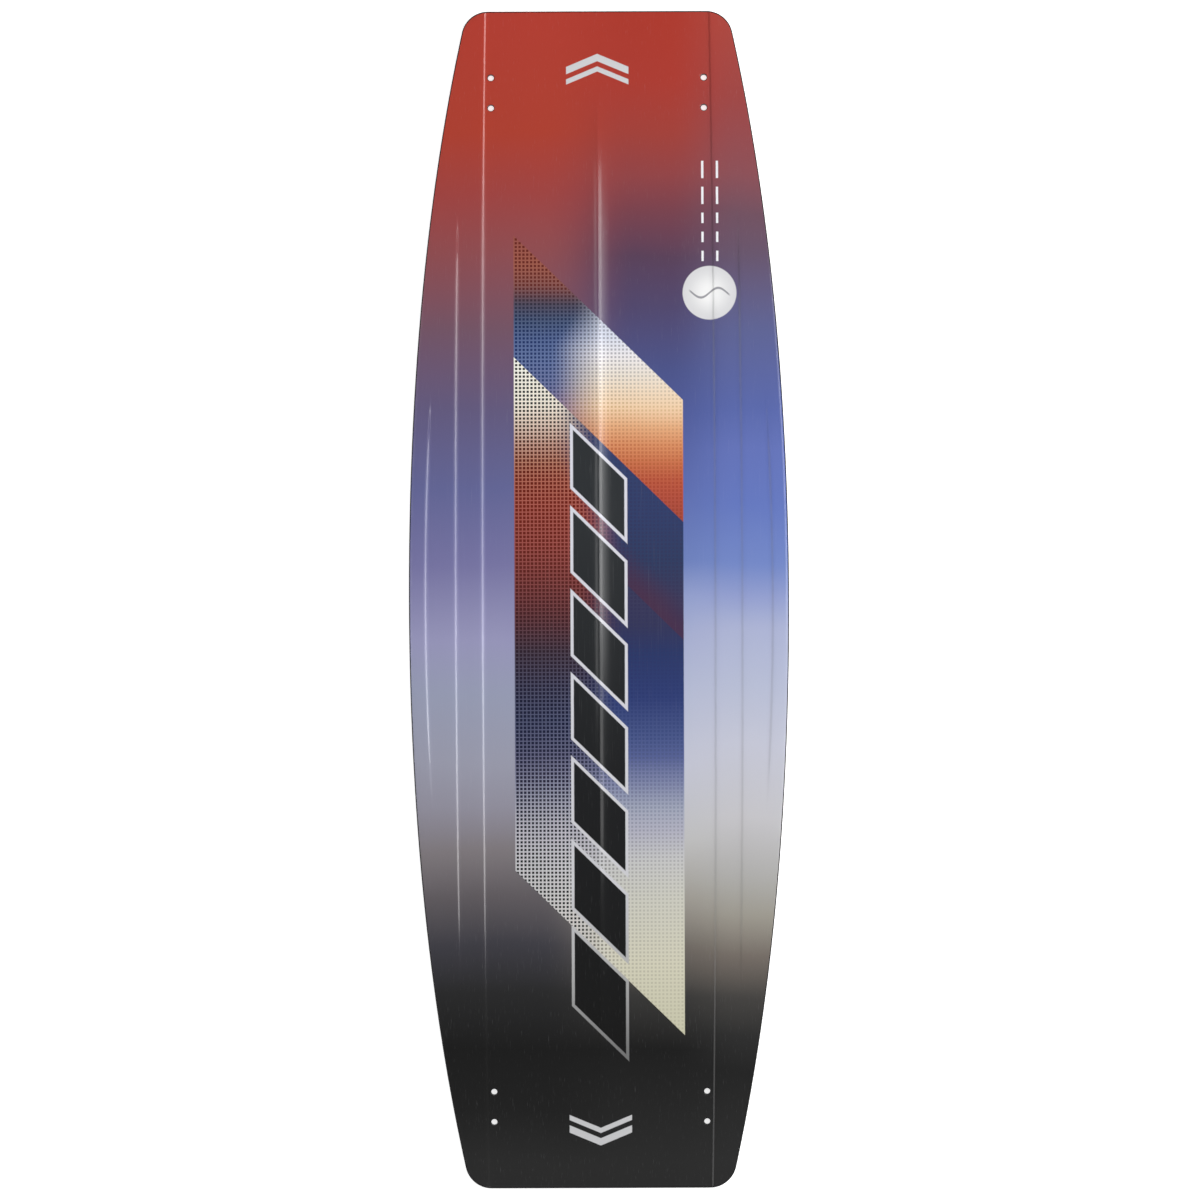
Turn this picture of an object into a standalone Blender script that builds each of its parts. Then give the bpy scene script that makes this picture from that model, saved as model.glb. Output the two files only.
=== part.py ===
# Twin-tip kiteboard, lying deck down on its two tips.
# Metres. +Z points out of the base, +Y towards the nose, +X to the right of someone who looks down on the
# base. The origin is on the floor, under the middle of the board.

import math

import bmesh
import bpy
import numpy as np
from mathutils import Matrix, Vector
from mathutils.bvhtree import BVHTree

# Outline
BOARD_LENGTH = 1.360
BOARD_WIDTH = 0.438
TIP_WIDTH = 0.3014          # between the two side curves where they would reach the end line
SIDE_FULLNESS = 0.15        # share of a side's pull-in that comes late, close to the tips
CORNER_RADIUS = 0.031

# Side view
ROCKER = 0.038              # drop of the base from the middle of the board to a tip
MIDDLE_THICKNESS = 0.0125
TIP_THICKNESS = 0.0070
EDGE_THICKNESS = 0.0070     # whole board, at the rails

# Relief of the base: a centre spine, gently falling panels and steps that rise towards the rails
PANEL_SLOPE = 0.0075
SPINE_HEIGHT = 0.0012
SPINE_REACH = 0.040
SPINE_HALF_LENGTH = 0.600
STEP_WIDTH = 0.003
RUN_OUT = 0.100             # length over which a spine or step fades to nothing
CHANNELS = (
    # inset from the widest point, share of the side's curve it follows, half length, height
    {"inset": 0.085, "follow": 0.07, "half_length": 0.900, "height": 0.0012},
    {"inset": 0.054, "follow": 0.13, "half_length": 0.460, "height": 0.0012},
    {"inset": 0.019, "follow": 1.00, "half_length": 0.250, "height": 0.0012},
)

# Layers
SHEET_THICKNESS = 0.0005
LAMINATE_THICKNESS = 0.0007
PATCH_THICKNESS = 0.0004
GLUE_GAP = 0.0003           # room between neighbouring pieces
BASE_REVEAL = 0.0012        # rail left showing outside the base sheet and base laminate
DECK_LAMINATE_REVEAL = 0.0022
DECK_SHEET_REVEAL = 0.0030

# Rails and core
RAIL_WIDTH = 0.012
TIP_RAIL_REACH = 0.045      # from the end of the board to the joints with the side rails
STRIP_WIDTH = 0.04125
STRIP_COUNT = 9

# Fin screw holes
FIN_PITCH = 0.035           # between the two screws of a fin
FIN_TIP_INSET = 0.0945      # from the end of the board to the middle of a fin's screws
FIN_SIDE_INSET = 0.0474     # from the side of the board to a fin's screws
FIN_HOLE_RADIUS = 0.0035    # clears an M6 screw
PLUG_RADIUS = 0.008

# Threaded inserts, for M6 screws from the deck side
STANCE = 0.560              # between the middles of the two feet
PAD_ROW_SPACING = 0.165     # across the board
PAD_ROW_COUNT = 4
PAD_PITCH = 0.0254          # along the board
HANDLE_PITCH = 0.220
NECK_RADIUS = 0.0055
FLANGE_RADIUS = 0.0075
FLANGE_THICKNESS = 0.0012
BODY_RADIUS = 0.00475
THREAD_RADIUS = 0.0025      # minor diameter of an M6 thread
INSERT_END_WALL = 0.0010
INSERT_COVER = 0.0010       # wood left between an insert and the base laminate
PATCH_MARGIN = 0.025        # from an insert's axis to the edge of its patch

# Fineness of the solids
SPINE_CREASES = (0.25, 1.0)  # shares of SPINE_REACH
DECK_CREASES = (0, 2, 4, 8, 9)  # the slab's lines, counted from the centre, that the deck's side also has
ROW_COUNT = 12
SIDE_POINTS = 9
CORNER_POINTS = 6
ROUND_SIDES = 12
SLAB_MARGIN = 0.010         # by which a slab outgrows the board before it is cut to the outline
CUTTER_REACH = 0.080        # half height of the cutters that pass through the whole board

HALF_LENGTH = BOARD_LENGTH / 2
HALF_WIDTH = BOARD_WIDTH / 2
SKIN_DEPTH = SHEET_THICKNESS + GLUE_GAP + LAMINATE_THICKNESS + GLUE_GAP
FLANGE_DEPTH = SKIN_DEPTH + PATCH_THICKNESS + GLUE_GAP

FINISHES = {
    "base_sheet": {"colour": (0.20, 0.19, 0.42), "roughness": 0.25, "metallic": 0.0},
    "deck_sheet": {"colour": (0.03, 0.03, 0.04), "roughness": 0.35, "metallic": 0.0},
    "laminate": {"colour": (0.55, 0.58, 0.45), "roughness": 0.50, "metallic": 0.0},
    "wood": {"colour": (0.62, 0.44, 0.25), "roughness": 0.65, "metallic": 0.0},
    "rail": {"colour": (0.02, 0.02, 0.02), "roughness": 0.40, "metallic": 0.0},
    "fin_plug": {"colour": (0.05, 0.05, 0.05), "roughness": 0.45, "metallic": 0.0},
    "insert": {"colour": (0.62, 0.61, 0.58), "roughness": 0.30, "metallic": 1.0},
}


# Shape of the board

def half_width(y):
    """Half the board's width at y: a side that pulls in with the square of the distance from the middle."""
    along = (y / HALF_LENGTH) ** 2
    pull_in = (BOARD_WIDTH - TIP_WIDTH) / 2
    return HALF_WIDTH - pull_in * along * (1 - SIDE_FULLNESS + SIDE_FULLNESS * along)


def side_normal(y):
    """Outward normal of the right side's curve at y."""
    along = (y / HALF_LENGTH) ** 2
    pull_in = (BOARD_WIDTH - TIP_WIDTH) / 2
    slope = -pull_in * 2 * y / HALF_LENGTH ** 2 * (1 - SIDE_FULLNESS + 2 * SIDE_FULLNESS * along)
    return Vector((1, -slope)).normalized()


def outline(inset):
    """Corners of the board's plan, moved inwards by inset, anticlockwise from the right side."""
    touch = HALF_LENGTH
    for _ in range(20):
        touch = HALF_LENGTH - CORNER_RADIUS * (1 - side_normal(touch).y)
    quarter = []
    for y in np.linspace(0, touch, SIDE_POINTS):
        quarter.append(Vector((half_width(y), y)) - inset * side_normal(y))
    centre = Vector((half_width(touch), touch)) - CORNER_RADIUS * side_normal(touch)
    start = math.atan2(side_normal(touch).y, side_normal(touch).x)
    for angle in np.linspace(start, math.pi / 2, CORNER_POINTS)[1:]:
        quarter.append(centre + (CORNER_RADIUS - inset) * Vector((math.cos(angle), math.sin(angle))))
    left = [Vector((-point.x, point.y)) for point in reversed(quarter)]
    upper = quarter + left
    lower = [Vector((point.x, -point.y)) for point in reversed(upper)]
    return upper + lower[1:-1]


def run_out(y, half_length):
    """1 along a spine or step, falling smoothly to 0 over the last RUN_OUT of its half length."""
    left = np.clip((half_length - np.abs(y)) / RUN_OUT, 0, 1)
    return left * left * (3 - 2 * left)


def step_line(channel, y):
    """Distance of a channel's step from the centre line at y."""
    reach = np.minimum(np.abs(y), channel["half_length"])
    return HALF_WIDTH - channel["inset"] - channel["follow"] * (HALF_WIDTH - half_width(reach))


def rocker_height(y):
    return -ROCKER * (y / HALF_LENGTH) ** 2


def base_height(x, y):
    """Outer face of the base sheet."""
    across = np.abs(x)
    height = rocker_height(y) - PANEL_SLOPE * across
    spine = np.clip(1 - across / SPINE_REACH, 0, 1) ** 2
    height = height + SPINE_HEIGHT * spine * run_out(y, SPINE_HALF_LENGTH)
    for channel in CHANNELS:
        climb = np.clip((across - step_line(channel, y)) / STEP_WIDTH + 0.5, 0, 1)
        height = height + channel["height"] * climb * run_out(y, channel["half_length"])
    return height


def crease_lines(y):
    """Distances from the centre line of a slab's lengthwise lines, one row of them for each y."""
    distances = [0 * y]
    for share in SPINE_CREASES:
        distances.append(share * SPINE_REACH + 0 * y)
    for channel in CHANNELS:
        distances.append(step_line(channel, y) - STEP_WIDTH / 2)
        distances.append(step_line(channel, y) + STEP_WIDTH / 2)
    distances.append(HALF_WIDTH + SLAB_MARGIN + 0 * y)
    return np.stack(distances, axis=1)


def foil_height(x, y):
    """Rounded shape that the deck follows: thick along the middle, thin at the rails."""
    middle = MIDDLE_THICKNESS - (MIDDLE_THICKNESS - TIP_THICKNESS) * (y / HALF_LENGTH) ** 2
    across = np.clip(np.abs(x) / half_width(y), 0, 1)
    thickness = EDGE_THICKNESS + (middle - EDGE_THICKNESS) * (1 - across ** 2)
    return rocker_height(y) - thickness


def deck_height(x, y):
    """Outer face of the deck sheet, which faces down: the foil, straight between the deck's creases."""
    rows = y[:, 0]
    creases = crease_lines(rows)[:, DECK_CREASES]
    heights = foil_height(creases, rows[:, None])
    straight = [np.interp(np.abs(line), *crease) for line, *crease in zip(x, creases, heights)]
    return np.array(straight)


# Modelling helpers

def new_object(name, mesh, collection):
    piece = bpy.data.objects.new(name, mesh)
    collection.objects.link(piece)
    piece.parent = board_root
    if collection is cutters:
        piece.hide_render = True
        piece.display_type = "WIRE"
    return piece


def cut(piece, cutter, operation="DIFFERENCE"):
    modifier = piece.modifiers.new(cutter.name, "BOOLEAN")
    modifier.operation = operation
    modifier.solver = "EXACT"
    modifier.object = cutter


def evaluated_mesh(piece):
    """The piece's mesh with its modifiers, in the board's frame."""
    depsgraph = bpy.context.evaluated_depsgraph_get()
    mesh = bpy.data.meshes.new_from_object(piece.evaluated_get(depsgraph))
    mesh.transform(piece.matrix_world)
    return mesh


def slab(name, top, bottom, collection, creases=slice(None)):
    """A plate larger than the board, between two surfaces given as functions of x and y."""
    rows = np.linspace(-1, 1, ROW_COUNT + 1) * (HALF_LENGTH + SLAB_MARGIN)
    right = crease_lines(rows)[:, creases]
    x = np.concatenate([-right[:, :0:-1], right], axis=1)
    y = np.broadcast_to(rows[:, None], x.shape)
    upper = np.stack([x, y, top(x, y)], axis=-1).reshape(-1, 3)
    lower = np.stack([x, y, bottom(x, y)], axis=-1).reshape(-1, 3)
    row_total, column_total = x.shape
    index = np.arange(x.size).reshape(x.shape)
    faces = []
    for row in range(row_total - 1):
        for column in range(column_total - 1):
            near_left, near_right = index[row, column], index[row, column + 1]
            far_left, far_right = index[row + 1, column], index[row + 1, column + 1]
            if (row < ROW_COUNT // 2) == (column < column_total // 2):
                faces.append((near_left, near_right, far_right))
                faces.append((near_left, far_right, far_left))
            else:
                faces.append((near_left, near_right, far_left))
                faces.append((near_right, far_right, far_left))
    underside = [tuple(corner + x.size for corner in reversed(face)) for face in faces]
    border = [*index[0, :], *index[1:, -1], *index[-1, -2::-1], *index[-2:0:-1, 0]]
    walls = []
    for here, there in zip(border, border[1:] + border[:1]):
        walls.append((here, here + x.size, there + x.size, there))
    mesh = bpy.data.meshes.new(name)
    mesh.from_pydata(np.concatenate([upper, lower]).tolist(), [], faces + underside + walls)
    return new_object(name, mesh, collection)


def outline_prism(name, inset):
    """Cutter with the board's plan, moved inwards by inset."""
    curve = bpy.data.curves.new(name, "CURVE")
    curve.dimensions = "2D"
    curve.fill_mode = "BOTH"
    curve.extrude = CUTTER_REACH
    points = outline(inset)
    spline = curve.splines.new("POLY")
    spline.points.add(len(points) - 1)
    for spline_point, point in zip(spline.points, points):
        spline_point.co = (point.x, point.y, 0, 1)
    spline.use_cyclic_u = True
    flat = bpy.data.objects.new(name, curve)
    cutters.objects.link(flat)
    mesh = evaluated_mesh(flat)
    bpy.data.objects.remove(flat)
    solid = bmesh.new()
    solid.from_mesh(mesh)
    bmesh.ops.remove_doubles(solid, verts=solid.verts, dist=0.00001)
    bmesh.ops.recalc_face_normals(solid, faces=solid.faces)
    solid.to_mesh(mesh)
    solid.free()
    return new_object(name, mesh, cutters)


def box(name, low, high):
    """Cutter that fills the space between two opposite corners."""
    low, high = Vector(low), Vector(high)
    place = Matrix.Translation((low + high) / 2) @ Matrix.Diagonal((*(high - low), 1))
    solid = bmesh.new()
    bmesh.ops.create_cube(solid, size=1, matrix=place)
    mesh = bpy.data.meshes.new(name)
    solid.to_mesh(mesh)
    solid.free()
    return new_object(name, mesh, cutters)


def turned(name, profile, collection):
    """Profile of (radius, height) points, down its outer side, turned about the local Z axis."""
    mesh = bpy.data.meshes.new(name)
    corners = [(radius, 0, height) for radius, height in profile]
    mesh.from_pydata(corners, [(i, i + 1) for i in range(len(corners) - 1)], [])
    piece = new_object(name, mesh, collection)
    screw = piece.modifiers.new("Turn", "SCREW")
    screw.steps = ROUND_SIDES
    screw.render_steps = ROUND_SIDES
    screw.use_merge_vertices = True
    screw.merge_threshold = 0.00001
    return piece


def seat_matrix(surface, x, y, direction):
    """Place on a slab's outer face where local +Z leaves the face squarely."""
    start = Vector((x, y, 2 * CUTTER_REACH * direction))
    point, normal, _, _ = surface.ray_cast(start, Vector((0, 0, -direction)))
    return Matrix.Translation(point) @ normal.to_track_quat("Z", "Y").to_matrix().to_4x4()


def repeated(name, profile, places):
    """One cutter with a turned body at each of the places."""
    pattern = turned(name, profile, cutters)
    bpy.context.view_layer.update()
    body = evaluated_mesh(pattern)
    bpy.data.objects.remove(pattern)
    solid = bmesh.new()
    for place in places:
        copy = body.copy()
        copy.transform(place)
        solid.from_mesh(copy)
        bpy.data.meshes.remove(copy)
    mesh = bpy.data.meshes.new(name)
    solid.to_mesh(mesh)
    solid.free()
    return new_object(name, mesh, cutters)


def finish(piece, kind):
    """Give the piece the material of its kind, made on first use."""
    material = bpy.data.materials.get(kind)
    if material is None:
        material = bpy.data.materials.new(kind)
        material.use_nodes = True
        shader = material.node_tree.nodes["Principled BSDF"]
        shader.inputs["Base Color"].default_value = (*FINISHES[kind]["colour"], 1)
        shader.inputs["Roughness"].default_value = FINISHES[kind]["roughness"]
        shader.inputs["Metallic"].default_value = FINISHES[kind]["metallic"]
    piece.data.materials.clear()
    piece.data.materials.append(material)


def pin_profile(radius, top, bottom):
    return [(0, top), (radius, top), (radius, bottom), (0, bottom)]


# Surfaces of the layers, counted inwards from the base and from the deck

def below_base(depth):
    return lambda x, y: base_height(x, y) - depth


def above_deck(depth):
    return lambda x, y: deck_height(x, y) + depth


def deck_slab(name, inner_depth, outer_depth, collection):
    """Layer of the deck side, between two depths counted from the deck's face."""
    return slab(name, above_deck(inner_depth), above_deck(outer_depth), collection, DECK_CREASES)


# Pieces

def make_skins(prisms, fin_holes, neck_holes):
    """The four layers that cover the core and the rails."""
    laminate_start = SHEET_THICKNESS + GLUE_GAP
    laminate_end = laminate_start + LAMINATE_THICKNESS

    base_sheet = slab("base_sheet", below_base(0), below_base(SHEET_THICKNESS), board)
    base_laminate = slab("base_laminate", below_base(laminate_start), below_base(laminate_end), board)
    for piece in (base_sheet, base_laminate):
        cut(piece, prisms["base"], "INTERSECT")
        cut(piece, fin_holes)

    deck_laminate = deck_slab("deck_laminate", laminate_end, laminate_start, board)
    deck_sheet = deck_slab("deck_sheet", SHEET_THICKNESS, 0, board)
    cut(deck_laminate, prisms["deck_laminate"], "INTERSECT")
    cut(deck_sheet, prisms["deck_sheet"], "INTERSECT")
    for piece in (deck_laminate, deck_sheet):
        cut(piece, fin_holes)
        cut(piece, neck_holes)

    finish(base_sheet, "base_sheet")
    finish(base_laminate, "laminate")
    finish(deck_laminate, "laminate")
    finish(deck_sheet, "deck_sheet")


def make_rails(blank, prisms):
    """The plastic band round the core, in two side lengths and two tip lengths."""
    ring = new_object("rail_ring", blank.data.copy(), cutters)
    cut(ring, prisms["rail_outside"], "INTERSECT")
    cut(ring, prisms["rail_inside"])
    bpy.context.view_layer.update()
    ring_mesh = evaluated_mesh(ring)
    bpy.data.objects.remove(ring)

    joint = HALF_LENGTH - TIP_RAIL_REACH
    far_x = HALF_WIDTH + SLAB_MARGIN
    far_y = HALF_LENGTH + SLAB_MARGIN
    spans = {
        "left_rail": ((-far_x, -joint), (0, joint)),
        "right_rail": ((0, -joint), (far_x, joint)),
        "nose_rail": ((-far_x, joint + GLUE_GAP), (far_x, far_y)),
        "tail_rail": ((-far_x, -far_y), (far_x, -joint - GLUE_GAP)),
    }
    for name, (low, high) in spans.items():
        rail = new_object(name, ring_mesh.copy(), board)
        span = box(name + "_span", (*low, -CUTTER_REACH), (*high, CUTTER_REACH))
        cut(rail, span, "INTERSECT")
        finish(rail, "rail")


def make_core(blank, prisms, plug_holes, insert_pockets, recesses):
    """Wood core: machined as one plate, then parted along its glue lines."""
    plate = new_object("core_plate", blank.data.copy(), cutters)
    cut(plate, prisms["core"], "INTERSECT")
    cut(plate, plug_holes)
    for recess in recesses:
        cut(plate, recess)
    cut(plate, insert_pockets)
    bpy.context.view_layer.update()
    plate_mesh = evaluated_mesh(plate)
    bpy.data.objects.remove(plate)

    far_x = HALF_WIDTH + SLAB_MARGIN
    far_y = HALF_LENGTH + SLAB_MARGIN
    for number in range(STRIP_COUNT):
        middle = (number - (STRIP_COUNT - 1) / 2) * STRIP_WIDTH
        low_x = middle - STRIP_WIDTH / 2 + GLUE_GAP / 2
        high_x = middle + STRIP_WIDTH / 2 - GLUE_GAP / 2
        if number == 0:
            low_x = -far_x
        if number == STRIP_COUNT - 1:
            high_x = far_x
        strip = new_object(f"core_strip_{number + 1}", plate_mesh.copy(), board)
        span = box(f"strip_span_{number + 1}", (low_x, -far_y, -CUTTER_REACH), (high_x, far_y, CUTTER_REACH))
        cut(strip, span, "INTERSECT")
        finish(strip, "wood")


def make_fin_plugs(blank, places, fin_holes):
    """Plastic discs in the core, level with its two faces, with the screw holes through them."""
    for end in ("nose", "tail"):
        for number, place in enumerate(places[end], start=1):
            name = f"{end}_fin_plug_{number}"
            plug = new_object(name, blank.data.copy(), board)
            disc = repeated(name + "_disc", pin_profile(PLUG_RADIUS, CUTTER_REACH, -CUTTER_REACH), [place])
            cut(plug, disc, "INTERSECT")
            cut(plug, fin_holes)
            finish(plug, "fin_plug")


def patch_span(places, margin):
    """Plan of a patch: the rectangle round its inserts, plus a margin."""
    xs = [place.translation.x for place in places]
    ys = [place.translation.y for place in places]
    low = (min(xs) - margin, min(ys) - margin)
    high = (max(xs) + margin, max(ys) + margin)
    return low, high


def make_patches(insert_places, neck_holes):
    """Glass patches between core and deck laminate. Returns the recesses that they need in the core."""
    patch_top = SKIN_DEPTH + PATCH_THICKNESS
    recesses = []
    for group, places in insert_places.items():
        low, high = patch_span(places, PATCH_MARGIN)
        patch = deck_slab(f"{group}_insert_patch", patch_top, SKIN_DEPTH, board)
        span = box(f"{group}_patch_span", (*low, -CUTTER_REACH), (*high, CUTTER_REACH))
        cut(patch, span, "INTERSECT")
        cut(patch, neck_holes)
        finish(patch, "laminate")

        low, high = patch_span(places, PATCH_MARGIN + GLUE_GAP)
        recess = deck_slab(f"{group}_recess", patch_top + GLUE_GAP, 0, cutters)
        recess_span = box(f"{group}_recess_span", (*low, -CUTTER_REACH), (*high, CUTTER_REACH))
        cut(recess, recess_span, "INTERSECT")
        recesses.append(recess)
    return recesses


def insert_profile(length, clearance):
    """Flanged body below a neck that comes up to the deck; local z counts up from the deck's face."""
    return [
        (NECK_RADIUS + clearance, 0),
        (NECK_RADIUS + clearance, -FLANGE_DEPTH + clearance),
        (FLANGE_RADIUS + clearance, -FLANGE_DEPTH + clearance),
        (FLANGE_RADIUS + clearance, -FLANGE_DEPTH - FLANGE_THICKNESS - clearance),
        (BODY_RADIUS + clearance, -FLANGE_DEPTH - FLANGE_THICKNESS - clearance),
        (BODY_RADIUS + clearance, -length - clearance),
        (0, -length - clearance),
    ]


def make_inserts(insert_places, length):
    thread_floor = -length + INSERT_END_WALL
    bore = [(0, thread_floor), (THREAD_RADIUS, thread_floor), (THREAD_RADIUS, 0)]
    for group, places in insert_places.items():
        kind = "handle_insert" if group == "handle" else f"{group}_pad_insert"
        for number, place in enumerate(places, start=1):
            insert = turned(f"{kind}_{number}", bore + insert_profile(length, 0), board)
            insert.matrix_local = place
            finish(insert, "insert")


# Positions

def fin_places(base_face):
    y_middle = HALF_LENGTH - FIN_TIP_INSET
    x = half_width(y_middle) - FIN_SIDE_INSET
    places = {"nose": [], "tail": []}
    for end, way in (("nose", 1), ("tail", -1)):
        for side in (-1, 1):
            for screw in (-1, 1):
                y = way * y_middle + screw * FIN_PITCH / 2
                places[end].append(seat_matrix(base_face, side * x, y, 1))
    return places


def all_insert_places(deck_face):
    places = {"nose": [], "tail": [], "handle": []}
    for end, way in (("nose", 1), ("tail", -1)):
        for side in (-1, 1):
            for number in range(PAD_ROW_COUNT):
                y = way * STANCE / 2 + (number - (PAD_ROW_COUNT - 1) / 2) * PAD_PITCH
                places[end].append(seat_matrix(deck_face, side * PAD_ROW_SPACING / 2, y, -1))
    for way in (-1, 1):
        places["handle"].append(seat_matrix(deck_face, 0, way * HANDLE_PITCH / 2, -1))
    return places


def insert_length(base_face, insert_places):
    """Length that leaves INSERT_COVER of wood over the insert where the board is thinnest."""
    depths = []
    for places in insert_places.values():
        for place in places:
            inwards = place.to_3x3() @ Vector((0, 0, -1))
            _, _, _, depth = base_face.ray_cast(place.translation, inwards)
            depths.append(depth)
    return min(depths) - SKIN_DEPTH - INSERT_COVER


def face_finder(top, bottom):
    """Searchable copy of a slab between two surfaces, to find points and normals on its faces."""
    sample = slab("sample", top, bottom, cutters)
    corners = [vertex.co for vertex in sample.data.vertices]
    faces = [tuple(face.vertices) for face in sample.data.polygons]
    finder = BVHTree.FromPolygons(corners, faces)
    bpy.data.objects.remove(sample)
    return finder


def stand_on_floor():
    """Lift the whole board until its lowest point is at z = 0."""
    bpy.context.view_layer.update()
    lowest = min(vertex.co.z for piece in board.objects for vertex in evaluated_mesh(piece).vertices)
    board_root.location.z = -lowest


for old in list(bpy.data.objects):
    bpy.data.objects.remove(old)

board = bpy.data.collections.new("kiteboard")
cutters = bpy.data.collections.new("cutters")
bpy.context.scene.collection.children.link(board)
bpy.context.scene.collection.children.link(cutters)
board_root = bpy.data.objects.new("board_root", None)
bpy.context.scene.collection.objects.link(board_root)

prisms = {
    "base": outline_prism("base_outline", BASE_REVEAL),
    "deck_laminate": outline_prism("deck_laminate_outline", DECK_LAMINATE_REVEAL),
    "deck_sheet": outline_prism("deck_sheet_outline", DECK_SHEET_REVEAL),
    "rail_outside": outline_prism("rail_outside_outline", 0),
    "rail_inside": outline_prism("rail_inside_outline", RAIL_WIDTH),
    "core": outline_prism("core_outline", RAIL_WIDTH + GLUE_GAP),
}
base_face = face_finder(below_base(0), below_base(CUTTER_REACH))
deck_face = face_finder(above_deck(CUTTER_REACH), above_deck(0))

fins = fin_places(base_face)
every_fin = fins["nose"] + fins["tail"]
through = CUTTER_REACH
fin_holes = repeated("fin_holes", pin_profile(FIN_HOLE_RADIUS, through, -through), every_fin)
plug_holes = repeated("plug_holes", pin_profile(PLUG_RADIUS + GLUE_GAP, through, -through), every_fin)

inserts = all_insert_places(deck_face)
every_insert = inserts["nose"] + inserts["tail"] + inserts["handle"]
length = insert_length(base_face, inserts)
neck_hole = pin_profile(NECK_RADIUS + GLUE_GAP, SKIN_DEPTH, -FLANGE_DEPTH)
neck_holes = repeated("neck_holes", neck_hole, every_insert)
pocket = [(0, 0)] + insert_profile(length, GLUE_GAP)
insert_pockets = repeated("insert_pockets", pocket, every_insert)

make_skins(prisms, fin_holes, neck_holes)
blank = slab("core_blank", below_base(SKIN_DEPTH), above_deck(SKIN_DEPTH), cutters)
make_rails(blank, prisms)
recesses = make_patches(inserts, neck_holes)
make_core(blank, prisms, plug_holes, insert_pockets, recesses)
make_fin_plugs(blank, fins, fin_holes)
make_inserts(inserts, length)
bpy.data.objects.remove(blank)
stand_on_floor()
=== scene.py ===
import math

import bmesh
import bpy
import numpy as np
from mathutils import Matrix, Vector


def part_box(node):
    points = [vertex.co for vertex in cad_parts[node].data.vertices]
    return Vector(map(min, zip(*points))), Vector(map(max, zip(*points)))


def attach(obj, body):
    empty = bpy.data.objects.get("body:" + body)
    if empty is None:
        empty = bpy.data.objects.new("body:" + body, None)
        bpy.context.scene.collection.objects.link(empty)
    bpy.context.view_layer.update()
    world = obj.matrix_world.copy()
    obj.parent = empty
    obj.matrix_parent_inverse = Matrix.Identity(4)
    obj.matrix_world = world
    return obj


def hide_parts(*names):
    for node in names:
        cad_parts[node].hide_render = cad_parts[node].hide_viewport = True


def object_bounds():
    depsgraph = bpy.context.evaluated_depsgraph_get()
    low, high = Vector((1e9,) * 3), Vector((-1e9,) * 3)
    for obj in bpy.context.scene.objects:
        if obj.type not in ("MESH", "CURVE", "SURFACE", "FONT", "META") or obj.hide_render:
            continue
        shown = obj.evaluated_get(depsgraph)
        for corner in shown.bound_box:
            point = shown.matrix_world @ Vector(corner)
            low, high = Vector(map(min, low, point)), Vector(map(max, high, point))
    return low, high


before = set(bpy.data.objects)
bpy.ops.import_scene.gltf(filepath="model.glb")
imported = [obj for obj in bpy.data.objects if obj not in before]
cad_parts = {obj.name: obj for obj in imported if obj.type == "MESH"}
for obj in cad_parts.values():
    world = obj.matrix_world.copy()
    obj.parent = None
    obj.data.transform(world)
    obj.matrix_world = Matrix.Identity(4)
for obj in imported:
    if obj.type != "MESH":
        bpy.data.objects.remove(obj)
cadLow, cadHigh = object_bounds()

# kiteboard, lying deck down on its two tips: +Z out of the base, +Y to the nose, +X to the right
# metres throughout, except in the prints, which are laid out in millimetres

boardShape = {
    "tipWidth": 0.3014,          # between the side curves where they would reach the end line
    "lateShare": 0.15,           # share of the sides' pull-in that comes close to the tips
    "cornerRadius": 0.031,
    "rocker": 0.038,
    "middleThickness": 0.0125,
    "tipThickness": 0.0070,
    "edgeThickness": 0.0070,
    "panelSlope": 0.0075,
    "spineHeight": 0.0012,
    "spineReach": 0.040,
    "spineHalfLength": 0.600,
    "stepWidth": 0.003,
    "fadeLength": 0.100,         # over which a spine or a step runs out
    "channels": [
        {"inset": 0.085, "follow": 0.07, "halfLength": 0.900, "height": 0.0012},
        {"inset": 0.054, "follow": 0.13, "halfLength": 0.460, "height": 0.0012},
        {"inset": 0.019, "follow": 1.00, "halfLength": 0.250, "height": 0.0012},
    ],
}
halfLength = float(cadHigh.y)
halfWide = float(cadHigh.x)


# shape of the board

def halfWidthAt(y):
    # half the width, less a pull-in that grows with the square of the way along, and in part with the fourth
    # power of it
    along = (y / halfLength) ** 2
    pullIn = halfWide - boardShape["tipWidth"] / 2
    late = boardShape["lateShare"]
    return halfWide - pullIn * along * (1 - late + late * along)


def sideNormalAt(y):
    # outward normal of the right side: its slope, turned a quarter
    along = (y / halfLength) ** 2
    pullIn = halfWide - boardShape["tipWidth"] / 2
    late = boardShape["lateShare"]
    slope = -pullIn * 2 * y / halfLength ** 2 * (1 - late + 2 * late * along)
    length = np.hypot(1, slope)
    return 1 / length, -slope / length


def cornerStart():
    # the y where a corner's arc leaves the side: repeated until arc and side share a tangent
    touch = halfLength
    for _ in range(20):
        touch = halfLength - boardShape["cornerRadius"] * (1 - sideNormalAt(touch)[1])
    return touch


def smooth(t):
    t = np.clip(t, 0, 1)
    return t * t * (3 - 2 * t)


def runOut(y, halfRun):
    # 1 along the run, falling smoothly to 0 at its end
    return smooth((halfRun - np.abs(y)) / boardShape["fadeLength"])


def stepDistance(channel, y):
    # distance of a step from the centre line: an inset from the widest point, plus part of the side's curve
    reach = np.minimum(np.abs(y), channel["halfLength"])
    return halfWide - channel["inset"] - channel["follow"] * (halfWide - halfWidthAt(reach))


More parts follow.
